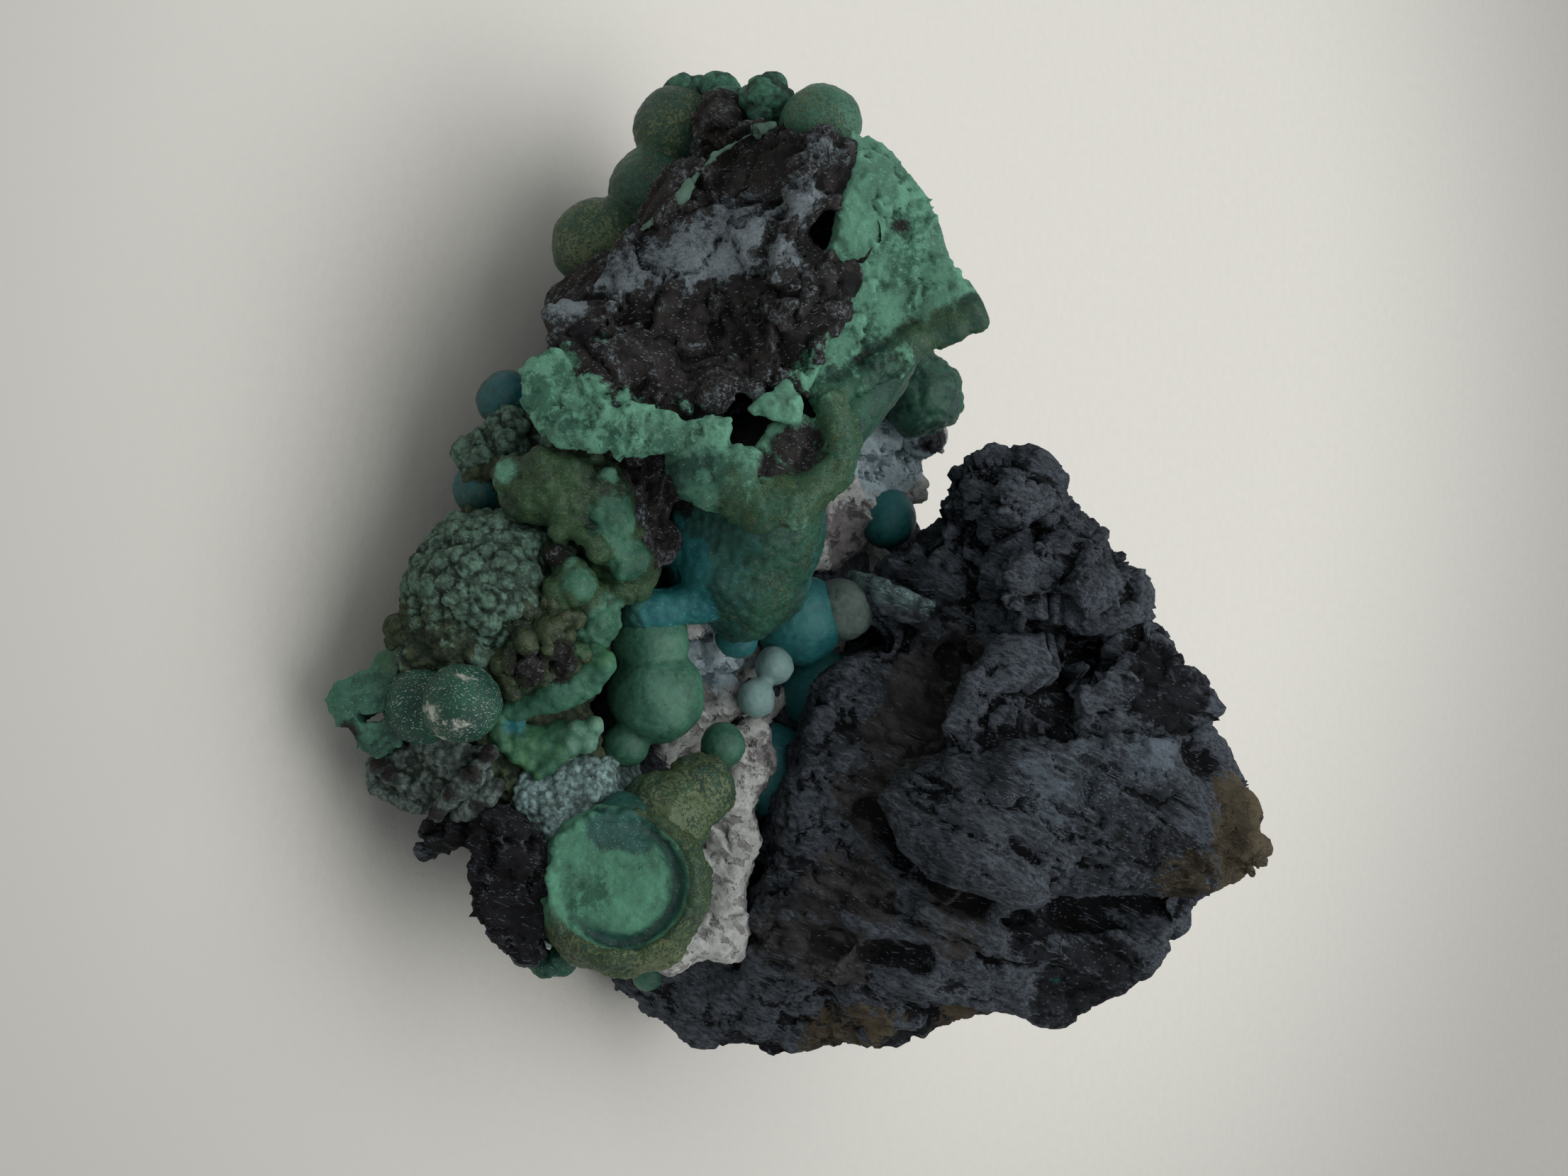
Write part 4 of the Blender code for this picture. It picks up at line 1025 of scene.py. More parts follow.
def mint_group():
    """Freshly broken malachite: chalky mint in cloudy bands, with painted shade in its creases, a painted
    highlight on its raised edges, and scratches.
    """
    values = {"Fresh": GREY, "Shadow": GREY, "Strands": 0.35}
    group, nodes, entry = new_group("Mint", WHERE | values)
    place, _, stand, fresh, shadow, strands = (entry[name] for name in WHERE | values)
    cloud = nodes.noise(place, 2.4, 7.0, 0.68)
    chalk = nodes.noise(place, 0.45, 7.0, 0.75)
    grime = nodes.noise(place, 3.6, 7.0, 0.74)
    base = nodes.two_tone(fresh, cloud, 0.34, 0.66, 0.55, 1.1)
    base = nodes.over(base, chalk, 0.52, 0.68, 0.5, fresh, 1.5)
    base = nodes.over(base, chalk, 0.42, 0.30, 0.6, shadow)
    base = nodes.over(base, grime, 0.46, 0.38, 0.75, shadow)
    # Painted shade in the creases, then a painted highlight on the raised edges.
    base = nodes.over(base, stand, 0.42, 0.1, 0.85, shadow, 0.5)
    base = nodes.over(base, stand, 0.65, 0.95, 0.5, fresh, 1.4)
    base = with_strands(nodes, base, place, 0.6, strands, 0.45, fresh, 1.9)
    return leave(nodes, group, base, nodes.ramp(cloud, 0.3, 0.7, 0.62, 0.8), nodes.part(chalk, 0.16))


def satin_group():
    """A grown satin skin: two mottled colours, darker veins, painted shade in its creases, a painted highlight
    on its raised edges, a dusting in drifts and stray strands.
    """
    values = {"Deep": GREY, "Light": GREY, "Dust": GREY, "Cover": 0.3, "Strands": 0.3}
    group, nodes, entry = new_group("Satin", WHERE | values)
    place, _, stand, deep, light, dust, cover, strands = (entry[name] for name in WHERE | values)
    fine = nodes.noise(place, 0.42, 6.0, 0.74)
    base = nodes.mix(nodes.ramp(nodes.noise(place, 2.6, 7.0, 0.66), 0.36, 0.64), deep, light)
    base = nodes.over(base, fine, 0.52, 0.68, 0.35, light, 1.5)
    base = nodes.over(base, fine, 0.46, 0.32, 0.6, deep, 0.45)
    # Painted shade in the creases, then a painted highlight on the raised edges.
    base = nodes.over(base, stand, 0.42, 0.08, 0.85, deep, 0.2)
    base = nodes.over(base, stand, 0.66, 0.95, 0.3, light, 1.3)
    dusting = nodes.shared("dust", Place=place, Size=4.5, Cover=cover)["Mask"]
    base = nodes.mix(nodes.part(dusting, 0.6), base, dust)
    base = with_strands(nodes, base, place, 0.5, strands, 0.35, dust, 2.0)
    height = nodes.maths("ADD", nodes.part(fine, 0.07), nodes.part(dusting, 0.05))
    return leave(nodes, group, base, nodes.ramp(fine, 0.3, 0.7, 0.34, 0.58), height)


def druse_group():
    """A crust of tiny balls: pale on top, with painted shade in its creases and between the balls."""
    values = {"Crease": GREY, "Top": GREY, "Size": 1.6, "Strands": 0.2}
    group, nodes, entry = new_group("Druse", WHERE | values)
    place, _, stand, crease, top, size, strands = (entry[name] for name in WHERE | values)
    balls = nodes.shared("bubbles", Place=place, Size=size)
    drift = nodes.noise(place, 3.0, 7.0, 0.7)
    fine = nodes.noise(place, 0.5, 6.0, 0.74)
    base = nodes.two_tone(top, fine, 0.34, 0.66, 0.45, 1.3)
    # Painted shade: the crease colour in low places, mixed with darker drifts, and between the tiny balls.
    high = nodes.maths("ADD", nodes.part(stand, 0.8), nodes.part(drift, 0.6))
    base = nodes.over(base, high, 0.80, 0.50, 1.0, crease)
    base = nodes.mix(nodes.part(balls["Crease"], 0.6), base, nodes.tint(crease, 0.6))
    base = with_strands(nodes, base, place, 0.6, strands, 0.4, top, 2.2)
    height = nodes.maths("ADD", nodes.part(balls["Height"], 0.16), nodes.part(fine, 0.10))
    return leave(nodes, group, base, nodes.ramp(drift, 0.3, 0.7, 0.6, 0.8), height)


def snow_group():
    """A white crust like old snow, with dark pits that run one way, and painted shade in its creases."""
    values = {"White": GREY, "Pit": GREY}
    group, nodes, entry = new_group("Snow", WHERE | values)
    place, long, stand, white, pit = (entry[name] for name in WHERE | values)
    grain_mask = nodes.noise(place, 0.6, 8.0, 0.74)
    holes = nodes.noise(long, 0.9, 4.0, 0.6)
    base = nodes.two_tone(white, grain_mask, 0.34, 0.66, 0.7, 1.15)
    base = nodes.over(base, holes, 0.43, 0.36, 0.85, pit)
    # Painted shade in the creases.
    base = nodes.over(base, stand, 0.38, 0.05, 0.7, pit, 0.5)
    height = nodes.maths("ADD", nodes.part(grain_mask, 0.14), nodes.ramp(holes, 0.38, 0.46, 0.0, 0.2))
    return leave(nodes, group, base, nodes.ramp(grain_mask, 0.3, 0.7, 0.7, 0.9), height)


GROUPS = {
    "fibres": fibre_group,
    "dust": dust_group,
    "bubbles": bubble_group,
    "rock": rock_group,
    "mint": mint_group,
    "satin": satin_group,
    "druse": druse_group,
    "snow": snow_group,
}
made_groups = {}


def shared_group(name):
    """Builds a shared effect the first time that a finish asks for it."""
    if name not in made_groups:
        made_groups[name] = GROUPS[name]()
    return made_groups[name]


# ---------------------------------------------------------------------------------------------- Finishes


def long_place(nodes, place, stretch):
    """The place squeezed along the slab's strike, for grain that runs one way."""
    along = nodes.part(nodes.vector_maths("DOT_PRODUCT", place, tuple(STRIKE)), 1.0 - stretch)
    return nodes.vector_maths("SUBTRACT", place, nodes.scaled(tuple(STRIKE), along))


def spot_edge(nodes, place, spots):
    """How far a place lies outside the nearest of some (x, y, z, radius) spots."""
    edge = None
    for *centre, radius in spots:
        away = nodes.maths("SUBTRACT", nodes.vector_maths("DISTANCE", place, tuple(centre)), radius)
        edge = away if edge is None else nodes.maths("MINIMUM", edge, away)
    return edge


def rock(dark, crust, cover=0.5, strands=0.3, lumps=0.4):
    return "rock", dict(Dark=dark, Crust=crust, Cover=cover, Strands=strands, Lumps=lumps)


def mint(fresh, shadow, strands=0.35):
    return "mint", dict(Fresh=fresh, Shadow=shadow, Strands=strands)


def satin(deep, light, dust, cover=0.3, strands=0.3):
    return "satin", dict(Deep=deep, Light=light, Dust=dust, Cover=cover, Strands=strands)


def druse(crease, top, size=1.6, strands=0.2):
    return "druse", dict(Crease=crease, Top=top, Size=size, Strands=strands)


def snow(white, pit):
    return "snow", dict(White=white, Pit=pit)


def new_material(name):
    """A material with its node calls and the point's own place."""
    material = bpy.data.materials.new(name)
    material.use_nodes = True
    nodes = Nodes(material.node_tree)
    return material, nodes, nodes.place()


def coat(nodes, colour, roughness, height, bump_height=MM, specular=0.5):
    """Gives a material's shader its colour, roughness and bump."""
    bump = nodes.add("ShaderNodeBump", {"Distance": bump_height, "Height": height})
    inputs = nodes.tree.nodes["Principled BSDF"].inputs
    nodes.wire(inputs["Base Color"], colour)
    nodes.wire(inputs["Roughness"], roughness)
    nodes.wire(inputs["Specular IOR Level"], specular)
    nodes.wire(inputs["Normal"], bump.outputs["Normal"])


def finish(name, ground, zones=(), stretch=1.0, specular=0.3, masks=()):
    """A material: its ground look, looks in ragged zones of spots, and looks under masks of stored values.

    A zone is (look, spots, raggedness in millimetres); a mask is (look, attribute, low, high).
    """
    material, nodes, place = new_material(name)
    where = {"Place": place, "Long": long_place(nodes, place, stretch), "Stand": nodes.value_of("stand")}
    tears = nodes.maths("SUBTRACT", nodes.noise(place, 1.3, 7.0, 0.74), 0.5)
    covers = [(ground, None)]
    for look, spots, ragged in zones:
        torn = nodes.maths("ADD", spot_edge(nodes, place, spots), nodes.part(tears, 5.0 * ragged))
        covers.append((look, nodes.ramp(torn, 0.25, -0.25)))
    for look, attribute, low, high in masks:
        attribute_mask = nodes.maths("ADD", nodes.value_of(attribute), nodes.part(tears, 0.25))
        covers.append((look, nodes.ramp(attribute_mask, low, high)))
    for (kind, values), mask in covers:
        over = nodes.shared(kind, **where, **values)
        if mask is None:
            colour, roughness, height = over
        else:
            colour = nodes.mix(mask, colour, over["Colour"])
            roughness = nodes.blend(mask, roughness, over["Roughness"])
            height = nodes.blend(mask, height, over["Height"])
    coat(nodes, colour, roughness, height, specular=specular)
    return material


def table_finish(pale):
    """A pale table top with a fine grain, and a painted pool of light: its tone falls off away from the
    middle.
    """
    material, nodes, place = new_material("table_top")
    fleck = nodes.noise(place, 0.8, 3.0, 0.6)
    tone = nodes.mix(fleck, nodes.tint(pale, 0.96), nodes.tint(pale, 1.03))
    # Painted light: the tone darkens with distance from the middle of the painted pool of light.
    far = nodes.ramp(nodes.vector_maths("DISTANCE", place, PAINTED_LIGHT_MIDDLE), 45.0, 125.0, 1.0, 0.62)
    coat(nodes, nodes.tint(tone, far), nodes.ramp(fleck, 0.3, 0.7, 0.55, 0.7), fleck, TABLE_GRAIN)
    return material


# ---------------------------------------------------------------------------------------------- Pieces


def swollen(balls, more):
    """The same balls with a larger radius."""
    return [(x, y, z, radius + more) for x, y, z, radius in balls]


def mesh_of(chunks=None, balls=(), ribs=(), masses=()):
    """One bmesh of all a piece's lumps, still separate skins."""
    mesh = bmesh.new()
    for corners in (chunks or {}).values():
        hull_into(mesh, corners)
    for ball in balls:
        mass_into(mesh, [ball])
    for rib in ribs:
        rib_into(mesh, RIBS[rib])
    for mass in masses:
        mass_into(mesh, MASSES[mass])
    return mesh


def grow(name, grid, relief, material, **lumps):
    """A grown piece: its lumps in one skin, with its own relief and finish."""
    piece = object_from(name, mesh_of(**lumps))
    wrap(piece, grid / MM)
    drop_bubbles(piece)
    raise_skin(piece, relief)
    keep_stand(piece)
    dress(piece, material)


def break_rock(
    name, chunks, grid, material, relief=chip_height, pits=(), lumps=(), keep=1.0, level=False, ledge=1.0
):
    """A piece of broken rock: ledges first, then pits and lumps, then fine relief in a finer skin.

    keep is the share of its faces that stay, level cuts it off at the base, and ledge scales its ledges.
    """
    piece = object_from(name, mesh_of(chunks))
    wrap(piece, FIRST_GRID, 0)
    drop_bubbles(piece)
    raise_skin(piece, lambda point: ledge * ledge_height(point))
    if pits:
        wrap(piece, FIRST_GRID / 2, 0)
        cutter = bmesh.new()
        for pit in pits:
            rib_into(cutter, PITS[pit])
        cutter = object_from("pit_cutter", cutter)
        wrap(cutter, FIRST_GRID / 2, 1)
        subtract(piece, cutter)
    if lumps:
        both = bmesh.new()
        both.from_mesh(piece.data)
        for rib in lumps:
            rib_into(both, rib)
        bpy.data.objects.remove(piece)
        piece = object_from(name, both)
    wrap(piece, grid / MM, 1)
    drop_bubbles(piece)
    raise_skin(piece, relief)
    if keep < 1.0:
        piece.modifiers.new("thin", "DECIMATE").ratio = keep
        bake_modifiers(piece)
    keep_stand(piece)
    if level:
        cut_level(piece)
    dress(piece, material)


def toward_top(turn):
    """1 toward the top of the broken face, 0 toward its lower left, where its rings fade."""
    return 0.5 + 0.5 * math.cos(turn - CUT_BALL_TOP)


def cut_ball_mesh():
    """The cut ball turned from its section, with its axis along the way that its broken face looks."""
    mesh = bmesh.new()
    rim_angle = math.acos(CUT_BALL_RIM / CUT_BALL_RADIUS)
    turns = [-math.pi / 2 + (rim_angle + math.pi / 2) * i / BACK_RINGS for i in range(BACK_RINGS + 1)]
    section = [(CUT_BALL_RADIUS * math.cos(t), CUT_BALL_RADIUS * math.sin(t)) for t in turns[1:]]
    section += CUT_BALL_SECTION
    spokes = [2 * math.pi * i / SPOKES for i in range(SPOKES)]
    rings = []
    for index, (away, height) in enumerate(section):
        ring = []
        for turn in spokes:
            spot = Vector((math.cos(turn), math.sin(turn), 0.3 * index))
            wide = away * (1.0 + 0.12 * noise.noise(spot * 1.4))
            sunk = CUT_BALL_FLAT + (height - CUT_BALL_FLAT) * toward_top(turn)
            high = sunk if index > BACK_RINGS else height
            ring.append(mesh.verts.new((wide * math.cos(turn), wide * math.sin(turn), high)))
        rings.append(ring)
    for lower, upper in zip(rings, rings[1:]):
        for i in range(SPOKES):
            j = (i + 1) % SPOKES
            mesh.faces.new((lower[i], lower[j], upper[j], upper[i]))
    for ring, height in ((rings[0], -CUT_BALL_RADIUS), (rings[-1], CUT_BALL_FLAT)):
        pole = mesh.verts.new((0, 0, height))
        for i in range(SPOKES):
            mesh.faces.new((ring[i], ring[(i + 1) % SPOKES], pole))
    mesh.transform(Matrix.Translation(CUT_BALL) @ face_turn())
    return mesh


def face_turn():
    """The turn of the broken face, with its x axis level and its y axis up the face."""
    out = Vector(CUT_BALL_FACES).normalized()
    side = Vector((0, 0, 1)).cross(out).normalized()
    return Matrix((side, out.cross(side), out)).transposed().to_4x4()


def keep_rings(piece):
    """Stores where each point lies on the cut ball: in its groove, whose finish carries painted shade, and on
    its golden shell.
    """
    back = (Matrix.Translation(CUT_BALL) @ face_turn()).inverted()
    grooves, shells = [], []
    for vertex in piece.data.vertices:
        spot = back @ vertex.co
        ring = math.hypot(spot.x, spot.y) / CUT_BALL_RADIUS
        top = toward_top(math.atan2(spot.y, spot.x))
        grooves.append(max(0.0, 1.0 - abs(ring - 0.66) / 0.16) * min(1.0, top * 1.6) if spot.z > 1.0 else 0.0)
        shells.append(clamp((ring - 0.72) / 0.10) * min(1.0, top * 2.0) if spot.z > 1.0 else 1.0)
    keep_attribute(piece, "groove", grooves)
    keep_attribute(piece, "shell", shells)


# ---------------------------------------------------------------------------------------------- Settings


def shade(name, description, rgb):
    """A colour that a user can change."""
    return bpy.props.FloatVectorProperty(
        name=name, description=description, default=rgb, subtype="COLOR", min=0.0, max=1.0
    )


def length(name, description, metres):
    """A length that a user can change."""
    return bpy.props.FloatProperty(
        name=name, description=description, default=metres, unit="LENGTH", min=0.00005, precision=5
    )


class SpecimenShades(bpy.types.PropertyGroup):
    """The colours of the stone's minerals."""

    slab_blue: shade("Slab crust", "Blue-grey crust of the slab", (0.086, 0.100, 0.118))
    slab_fur: shade("Slab fur", "Pale fibrous crust on the slab's bulge", (0.098, 0.120, 0.142))
    slab_dark: shade("Slab body", "Dark rock under the slab's crust", (0.016, 0.017, 0.020))
    slab_brown: shade("Slab brown", "Rusty brown of the peak and the right flank", (0.033, 0.028, 0.022))
    slab_grey: shade("Slab shade", "Brown-grey of the smooth recess", (0.054, 0.051, 0.050))
    crag_brown: shade("Crag rock", "Brown rock of the broken crag", (0.028, 0.025, 0.024))
    crag_blue: shade("Crag crust", "Pale blue-grey crust on the crag", (0.145, 0.172, 0.186))
    mint: shade("Mint", "Freshly broken malachite", (0.140, 0.345, 0.235))
    dark_skin: shade("Dark skin", "Dark green skin of the crest", (0.010, 0.048, 0.036))
    olive: shade("Olive", "Olive skin of the fold and the shells", (0.034, 0.080, 0.036))
    gold: shade("Gold", "Golden dust on the malachite", (0.130, 0.155, 0.062))
    green: shade("Green", "Green malachite balls", (0.020, 0.090, 0.055))
    soft_green: shade("Soft green", "The big satin ball", (0.055, 0.170, 0.112))
    teal: shade("Teal", "Blue-green chrysocolla", (0.026, 0.165, 0.160))
    deep_teal: shade("Deep teal", "Chrysocolla deep in the hollow", (0.010, 0.105, 0.118))
    pale: shade("Pale balls", "Nearly white chrysocolla balls", (0.190, 0.320, 0.300))
    white: shade("White crust", "White crust of the hollow's floor", (0.540, 0.550, 0.525))
    lilac: shade("Lilac crust", "Lilac-grey crust between the white and the slab", (0.225, 0.208, 0.208))
    grey: shade("Grey dome", "Grey ball under the slab", (0.060, 0.095, 0.082))
    moss: shade("Moss", "Nearly black green of the small velvet balls", (0.010, 0.022, 0.013))
    druse: shade("Druse", "Blue-green druse of tiny balls", (0.100, 0.180, 0.135))
    druse_olive: shade("Olive druse", "Olive brown part of the druse", (0.045, 0.062, 0.030))
    teal_green: shade("Teal green", "The curtain's green", (0.024, 0.105, 0.086))
    blue_snow: shade("Blue crust", "Pale blue crust at the back of the hollow", (0.400, 0.500, 0.540))
    blue_pit: shade("Blue pits", "Dark blue pits in the pale blue crust", (0.055, 0.110, 0.135))
    pale_mint: shade("Pale mint", "The palest pebbles", (0.170, 0.300, 0.220))
    cut_mint: shade("Cut mint", "The disc in the cut ball", (0.095, 0.280, 0.180))
    druse_blue: shade("Blue druse", "Blue-grey druse at the foot", (0.120, 0.160, 0.145))
    pale_druse: shade("Pale druse", "Pale blue druse round the cut ball's stem", (0.215, 0.325, 0.315))
    apple: shade("Apple green", "Bright green pebbles", (0.060, 0.170, 0.075))
    fleck: shade("Fleck", "Chalky white flecks", (0.550, 0.600, 0.520))
    # Also the near-black of the painted shade in the slab's grooves, the crag's pit, the fold's hollow and the
    # curtain.
    black: shade("Black rock", "Black shard in front", (0.012, 0.012, 0.014))
    ochre: shade("Ochre", "Ochre streaks", (0.085, 0.070, 0.045))
    table: shade("Table top", "Pale table top", (0.800, 0.770, 0.705))


class SpecimenSizes(bpy.types.PropertyGroup):
    """How fine each skin is, and the stage."""

    slab_grid: length("Slab grid", "Face size of the slab before it is thinned", 0.00023)
    rock_grid: length("Rock grid", "Face size of the other broken rock", 0.00026)
    foot_grid: length("Foot grid", "Face size of the foot", 0.00045)
    rim_grid: length("Rim grid", "Face size of the rim and the fold", 0.0002)
    ball_grid: length("Ball grid", "Face size of the satin balls", 0.00019)
    druse_grid: length("Druse grid", "Face size of the druse", 0.00015)
    table_width: length("Table width", "Width of the table top", 1.6)
    key_power: bpy.props.FloatProperty(
        name="Window light", description="Power of the window behind the stone", default=0.90, unit="POWER"
    )
    fill_power: bpy.props.FloatProperty(
        name="Fill light", description="Power of the soft light in front", default=0.25, unit="POWER"
    )
    room_light: bpy.props.FloatProperty(
        name="Room light", description="Strength of the light from all round", default=0.33, min=0.0
    )


def settings(context):
    return context.scene.specimen_sizes, context.scene.specimen_shades


# ---------------------------------------------------------------------------------------------- Operators


class Maker:
    """What the operators share: each builds its pieces from the sizes and colours in the panel."""

    def execute(self, context):
        self.build(*settings(context))
        return {"FINISHED"}


class SPECIMEN_OT_slab(Maker, bpy.types.Operator):
    """The slab of broken blue-grey rock at the back, with its brown peak"""

    bl_idname = "specimen.slab"
    bl_label = "Slab"

    def build(self, sizes, shades):
        brown = rock(shades.slab_brown, shades.ochre, 0.25, 1.0)
        fur = rock(shades.slab_dark, shades.slab_fur, 0.68, 0.9)
        dark = rock(shades.slab_dark, shades.slab_blue, 0.10, 0.2)
        recess = rock(shades.slab_grey, shades.slab_blue, 0.12, 0.1)
        dusty = rock(shades.slab_grey, shades.slab_blue, 0.28, 0.35)
        zones = [
            (dark, [
                (31, 7, 12, 3), (27.5, 14, 34, 4), (8, 16, 38.5, 3), (30, 12, 22, 5), (24, 10, 33, 2),
            ], 1.0),
            (fur, [
                (12.5, 13.5, 38.5, 2), (13.5, 10.5, 37, 2.2), (15, 8, 35.5, 1.6), (13.5, 7, 34, 1.4),
            ], 1.2),
            (dusty, [
                (21.8, 3.4, 22.5, 3.4), (25.7, 2.9, 21.3, 2.6), (24, 3, 17.5, 2.4), (15.5, 5.2, 22.7, 2.4),
                (23, 7, 28.5, 2.2),
            ], 1.4),
            (brown, [
                (15.6, 18.2, 43, 2.2), (17.5, 18, 43.5, 3), (19.5, 18.5, 43, 3.2), (19, 23.2, 41.4, 2.6),
                (20.1, 14, 41.5, 1.9), (21.6, 16, 40.5, 1.7), (31.5, 11, 26, 2.4), (29.8, 10.5, 26.9, 1.8),
                (30.1, 6.3, 21.9, 1.8), (31.6, 8, 18, 2.6),
            ], 1.4),
            (recess, [
                (6.5, 11.8, 25, 2.2), (9.1, 9.8, 24.1, 3.2), (11.6, 7.8, 24, 3), (9.5, 8.5, 27, 2.6),
            ], 0.8),
            # Painted shadow: near-black along the grooves beside the bulge and under it.
            (rock(shades.black, shades.slab_dark, 0.2, 0.1),
             [(*spot, 0.35) for line in SLAB_GROOVES[:2] for spot in line], 1.2),
            (rock(shades.slab_blue, shades.pale_druse, 0.75), swollen(SLAB_BLADE, 0.35), 0.15),
            (satin(shades.teal, shades.teal, shades.teal), [(26.6, 12, 32.5, 0.5)], 0.15),
        ]
        skin = finish("slab_rock", rock(shades.slab_dark, shades.slab_blue, 0.66, 0.5), zones, 0.35, 0.12)
        pits, lumps = ("slab_crack", "slab_crease"), (SLAB_BLADE, SLAB_TOP)
        break_rock("slab", SLAB_CHUNKS, sizes.slab_grid, skin, slab_height, pits, lumps, keep=0.6, level=True)


class SPECIMEN_OT_crag(Maker, bpy.types.Operator):
    """The crag of broken brown rock at the left, with its rope ridge and pale crust"""

    bl_idname = "specimen.crag"
    bl_label = "Crag"

    def build(self, sizes, shades):
        fuzz = rock(shades.slab_dark, shades.crag_blue, 0.68, 1.0, 0.3)
        # Near-black zones: painted shade along the crest pit, and near-black spots elsewhere on the face.
        pit_shade_and_black_spots = rock(shades.black, shades.crag_brown, 0.25, 0.2, 0.15)
        zones = [
            (fuzz, [
                (-25, -4.6, 26.5, 1.1), (-22, -6, 26, 1.5), (-18.3, -6.9, 25.7, 1.3),
                (-20.8, -8.2, 23.2, 2.2), (-18.6, -9.4, 22.8, 1.8), (-18.9, -10.6, 21.3, 2),
                (-18.3, -12.2, 19.4, 1.8), (-17.6, -13.8, 17.5, 1.9), (-15.5, -15.6, 15.8, 1.3),
            ], 1.1),
            (pit_shade_and_black_spots, [
                (-25.3, -6.9, 22.1, 1.5), (-23.3, -3.1, 28.5, 1.2), (-16.7, -4.5, 28.9, 1),
                (-19.8, -11.5, 20, 0.8), (-13.5, -15.3, 17, 1), (-24.5, -5, 24.6, 1.2), (-19, -2.4, 25.8, 2),
            ], 0.8),
            (mint(shades.mint, shades.green), [
                (-13, -9.8, 23.8, 0.3), (-15.4, -12.2, 20.6, 0.2), (-13, -14.8, 18.1, 0.3),
                (-15.3, -13.1, 19.6, 0.2), (-8.3, -11.5, 23.2, 0.9), (-8.8, -12.9, 21.8, 0.9),
                (-9.2, -14.6, 20.2, 0.9), (-9.8, -15.8, 18.2, 1.1), (-12, -16.6, 16.2, 0.9),
                (-13.1, -6, 27.9, 0.5), (-12.1, -6.2, 27.6, 0.6), (-11, -7, 27.9, 0.8),
            ], 0.9),
        ]
        ground = rock(shades.crag_brown, shades.crag_blue, 0.06, 0.30, 0.05)
        skin, pits = finish("crag_rock", ground, zones, specular=0.2), ("crest_pit", "side_pit")
        break_rock(
            "crag", CRAG_CHUNKS, sizes.rock_grid, skin, crag_height, pits, CRAG_LUMPS, keep=0.8, ledge=0.15
        )


class SPECIMEN_OT_rim(Maker, bpy.types.Operator):
    """The malachite rim: crest, horn, skin, rolled fold and the mint plates below it"""

    bl_idname = "specimen.rim"
    bl_label = "Rim"

    def build(self, sizes, shades):
        horn = satin(shades.dark_skin, shades.olive, shades.gold, 0.25, 0.5)
        olive = satin(shades.green, shades.olive, shades.gold, 0.50, 0.8)
        brown = rock(shades.crag_brown, shades.crag_blue, 0.15, 0.4, 0.2)
        zones = [
            (mint(shades.soft_green, shades.dark_skin, 0.5), [
                (-6.8, -13.4, 21.6, 0.8), (-6.9, -15, 19.6, 0.9), (-8, -16.6, 17.6, 1),
                (-9.8, -17.8, 15.2, 1.2), (-12.4, -17.2, 15, 0.5),
            ], 1.8),
            (mint(shades.druse, shades.moss, 0.2), swollen(RIBS["shell_edge"], 1.2), 0.1),
            (horn, [
                (-14.8, 1.4, 34, 1.6), (-14, 0.4, 32.8, 1.6), (-13.3, -0.9, 31.4, 1.5),
                (-12.4, -2, 30.5, 1.2), (-16, 1.8, 33.6, 0.8),
            ], 0.4),
            (satin(shades.dark_skin, shades.green, shades.gold, 0.4, 0.5), [
                (-11.4, -3, 29.6, 1.7), (-10.2, -4.4, 28.6, 1.6), (-12.6, -3.2, 29.2, 0.8),
            ], 0.6),
            (olive, [
                (-9.4, -5.7, 28.6, 1.2), (-8.2, -5.4, 28.9, 1.5), (-6.8, -5.2, 28.9, 1.9),
                (-5.5, -5.6, 28.6, 2), (-4.5, -6.8, 28.1, 2), (-3.7, -8.2, 27.3, 2.1), (-3.1, -9.3, 26.3, 2),
                (-3.4, -10.1, 25.3, 1.7), (-4.8, -10.6, 25.2, 1.3),
            ], 0.4),
            (satin(shades.dark_skin, shades.soft_green, shades.mint, 0.2, 0.2), [
                (-5.2, -12, 23.9, 1.4), (-4.6, -12.4, 22.6, 1.6), (-4.6, -11.8, 21.4, 1.4),
                (-4.2, -10.6, 23.6, 1.2),
            ], 0.3),
            (brown, [
                (-20.6, -0.7, 30.1, 0.6), (-6.6, -7.6, 27.2, 1.5), (-5.4, -8.9, 26.2, 1.2),
                (-7.6, -6.9, 27.4, 0.9),
            ], 0.4),
        ]
        masses = ("horn", "horn_bulge", "fold_face", "fold_rock", "band_top", "band_middle", "band_low")
        skin = finish("rim_mint", mint(shades.mint, shades.green), zones, specular=0.35)
        lumps = dict(chunks=RIM_CHUNKS, ribs=("rim_skin", "fold", "mint_lump", "shell_edge"), masses=masses)
        grow("rim", sizes.rim_grid, rim_height, skin, **lumps)
        # Painted shade: near-black inside the hollow behind the fold.
        inside = [(-6.7, -6.8, 25.6, 2), (-8.5, -6, 26.5, 1.4), (-4.6, -9, 22, 1.6), (-7.5, -8, 23.6, 1.8)]
        zones = [(rock(shades.black, shades.crag_brown, 0.2), inside, 0.5)]
        skin = finish("rim_back_skin", satin(shades.dark_skin, shades.green, shades.gold, 0.35), zones)
        grow("rim_back", sizes.ball_grid, satin_height, skin, masses=("rim_back",))


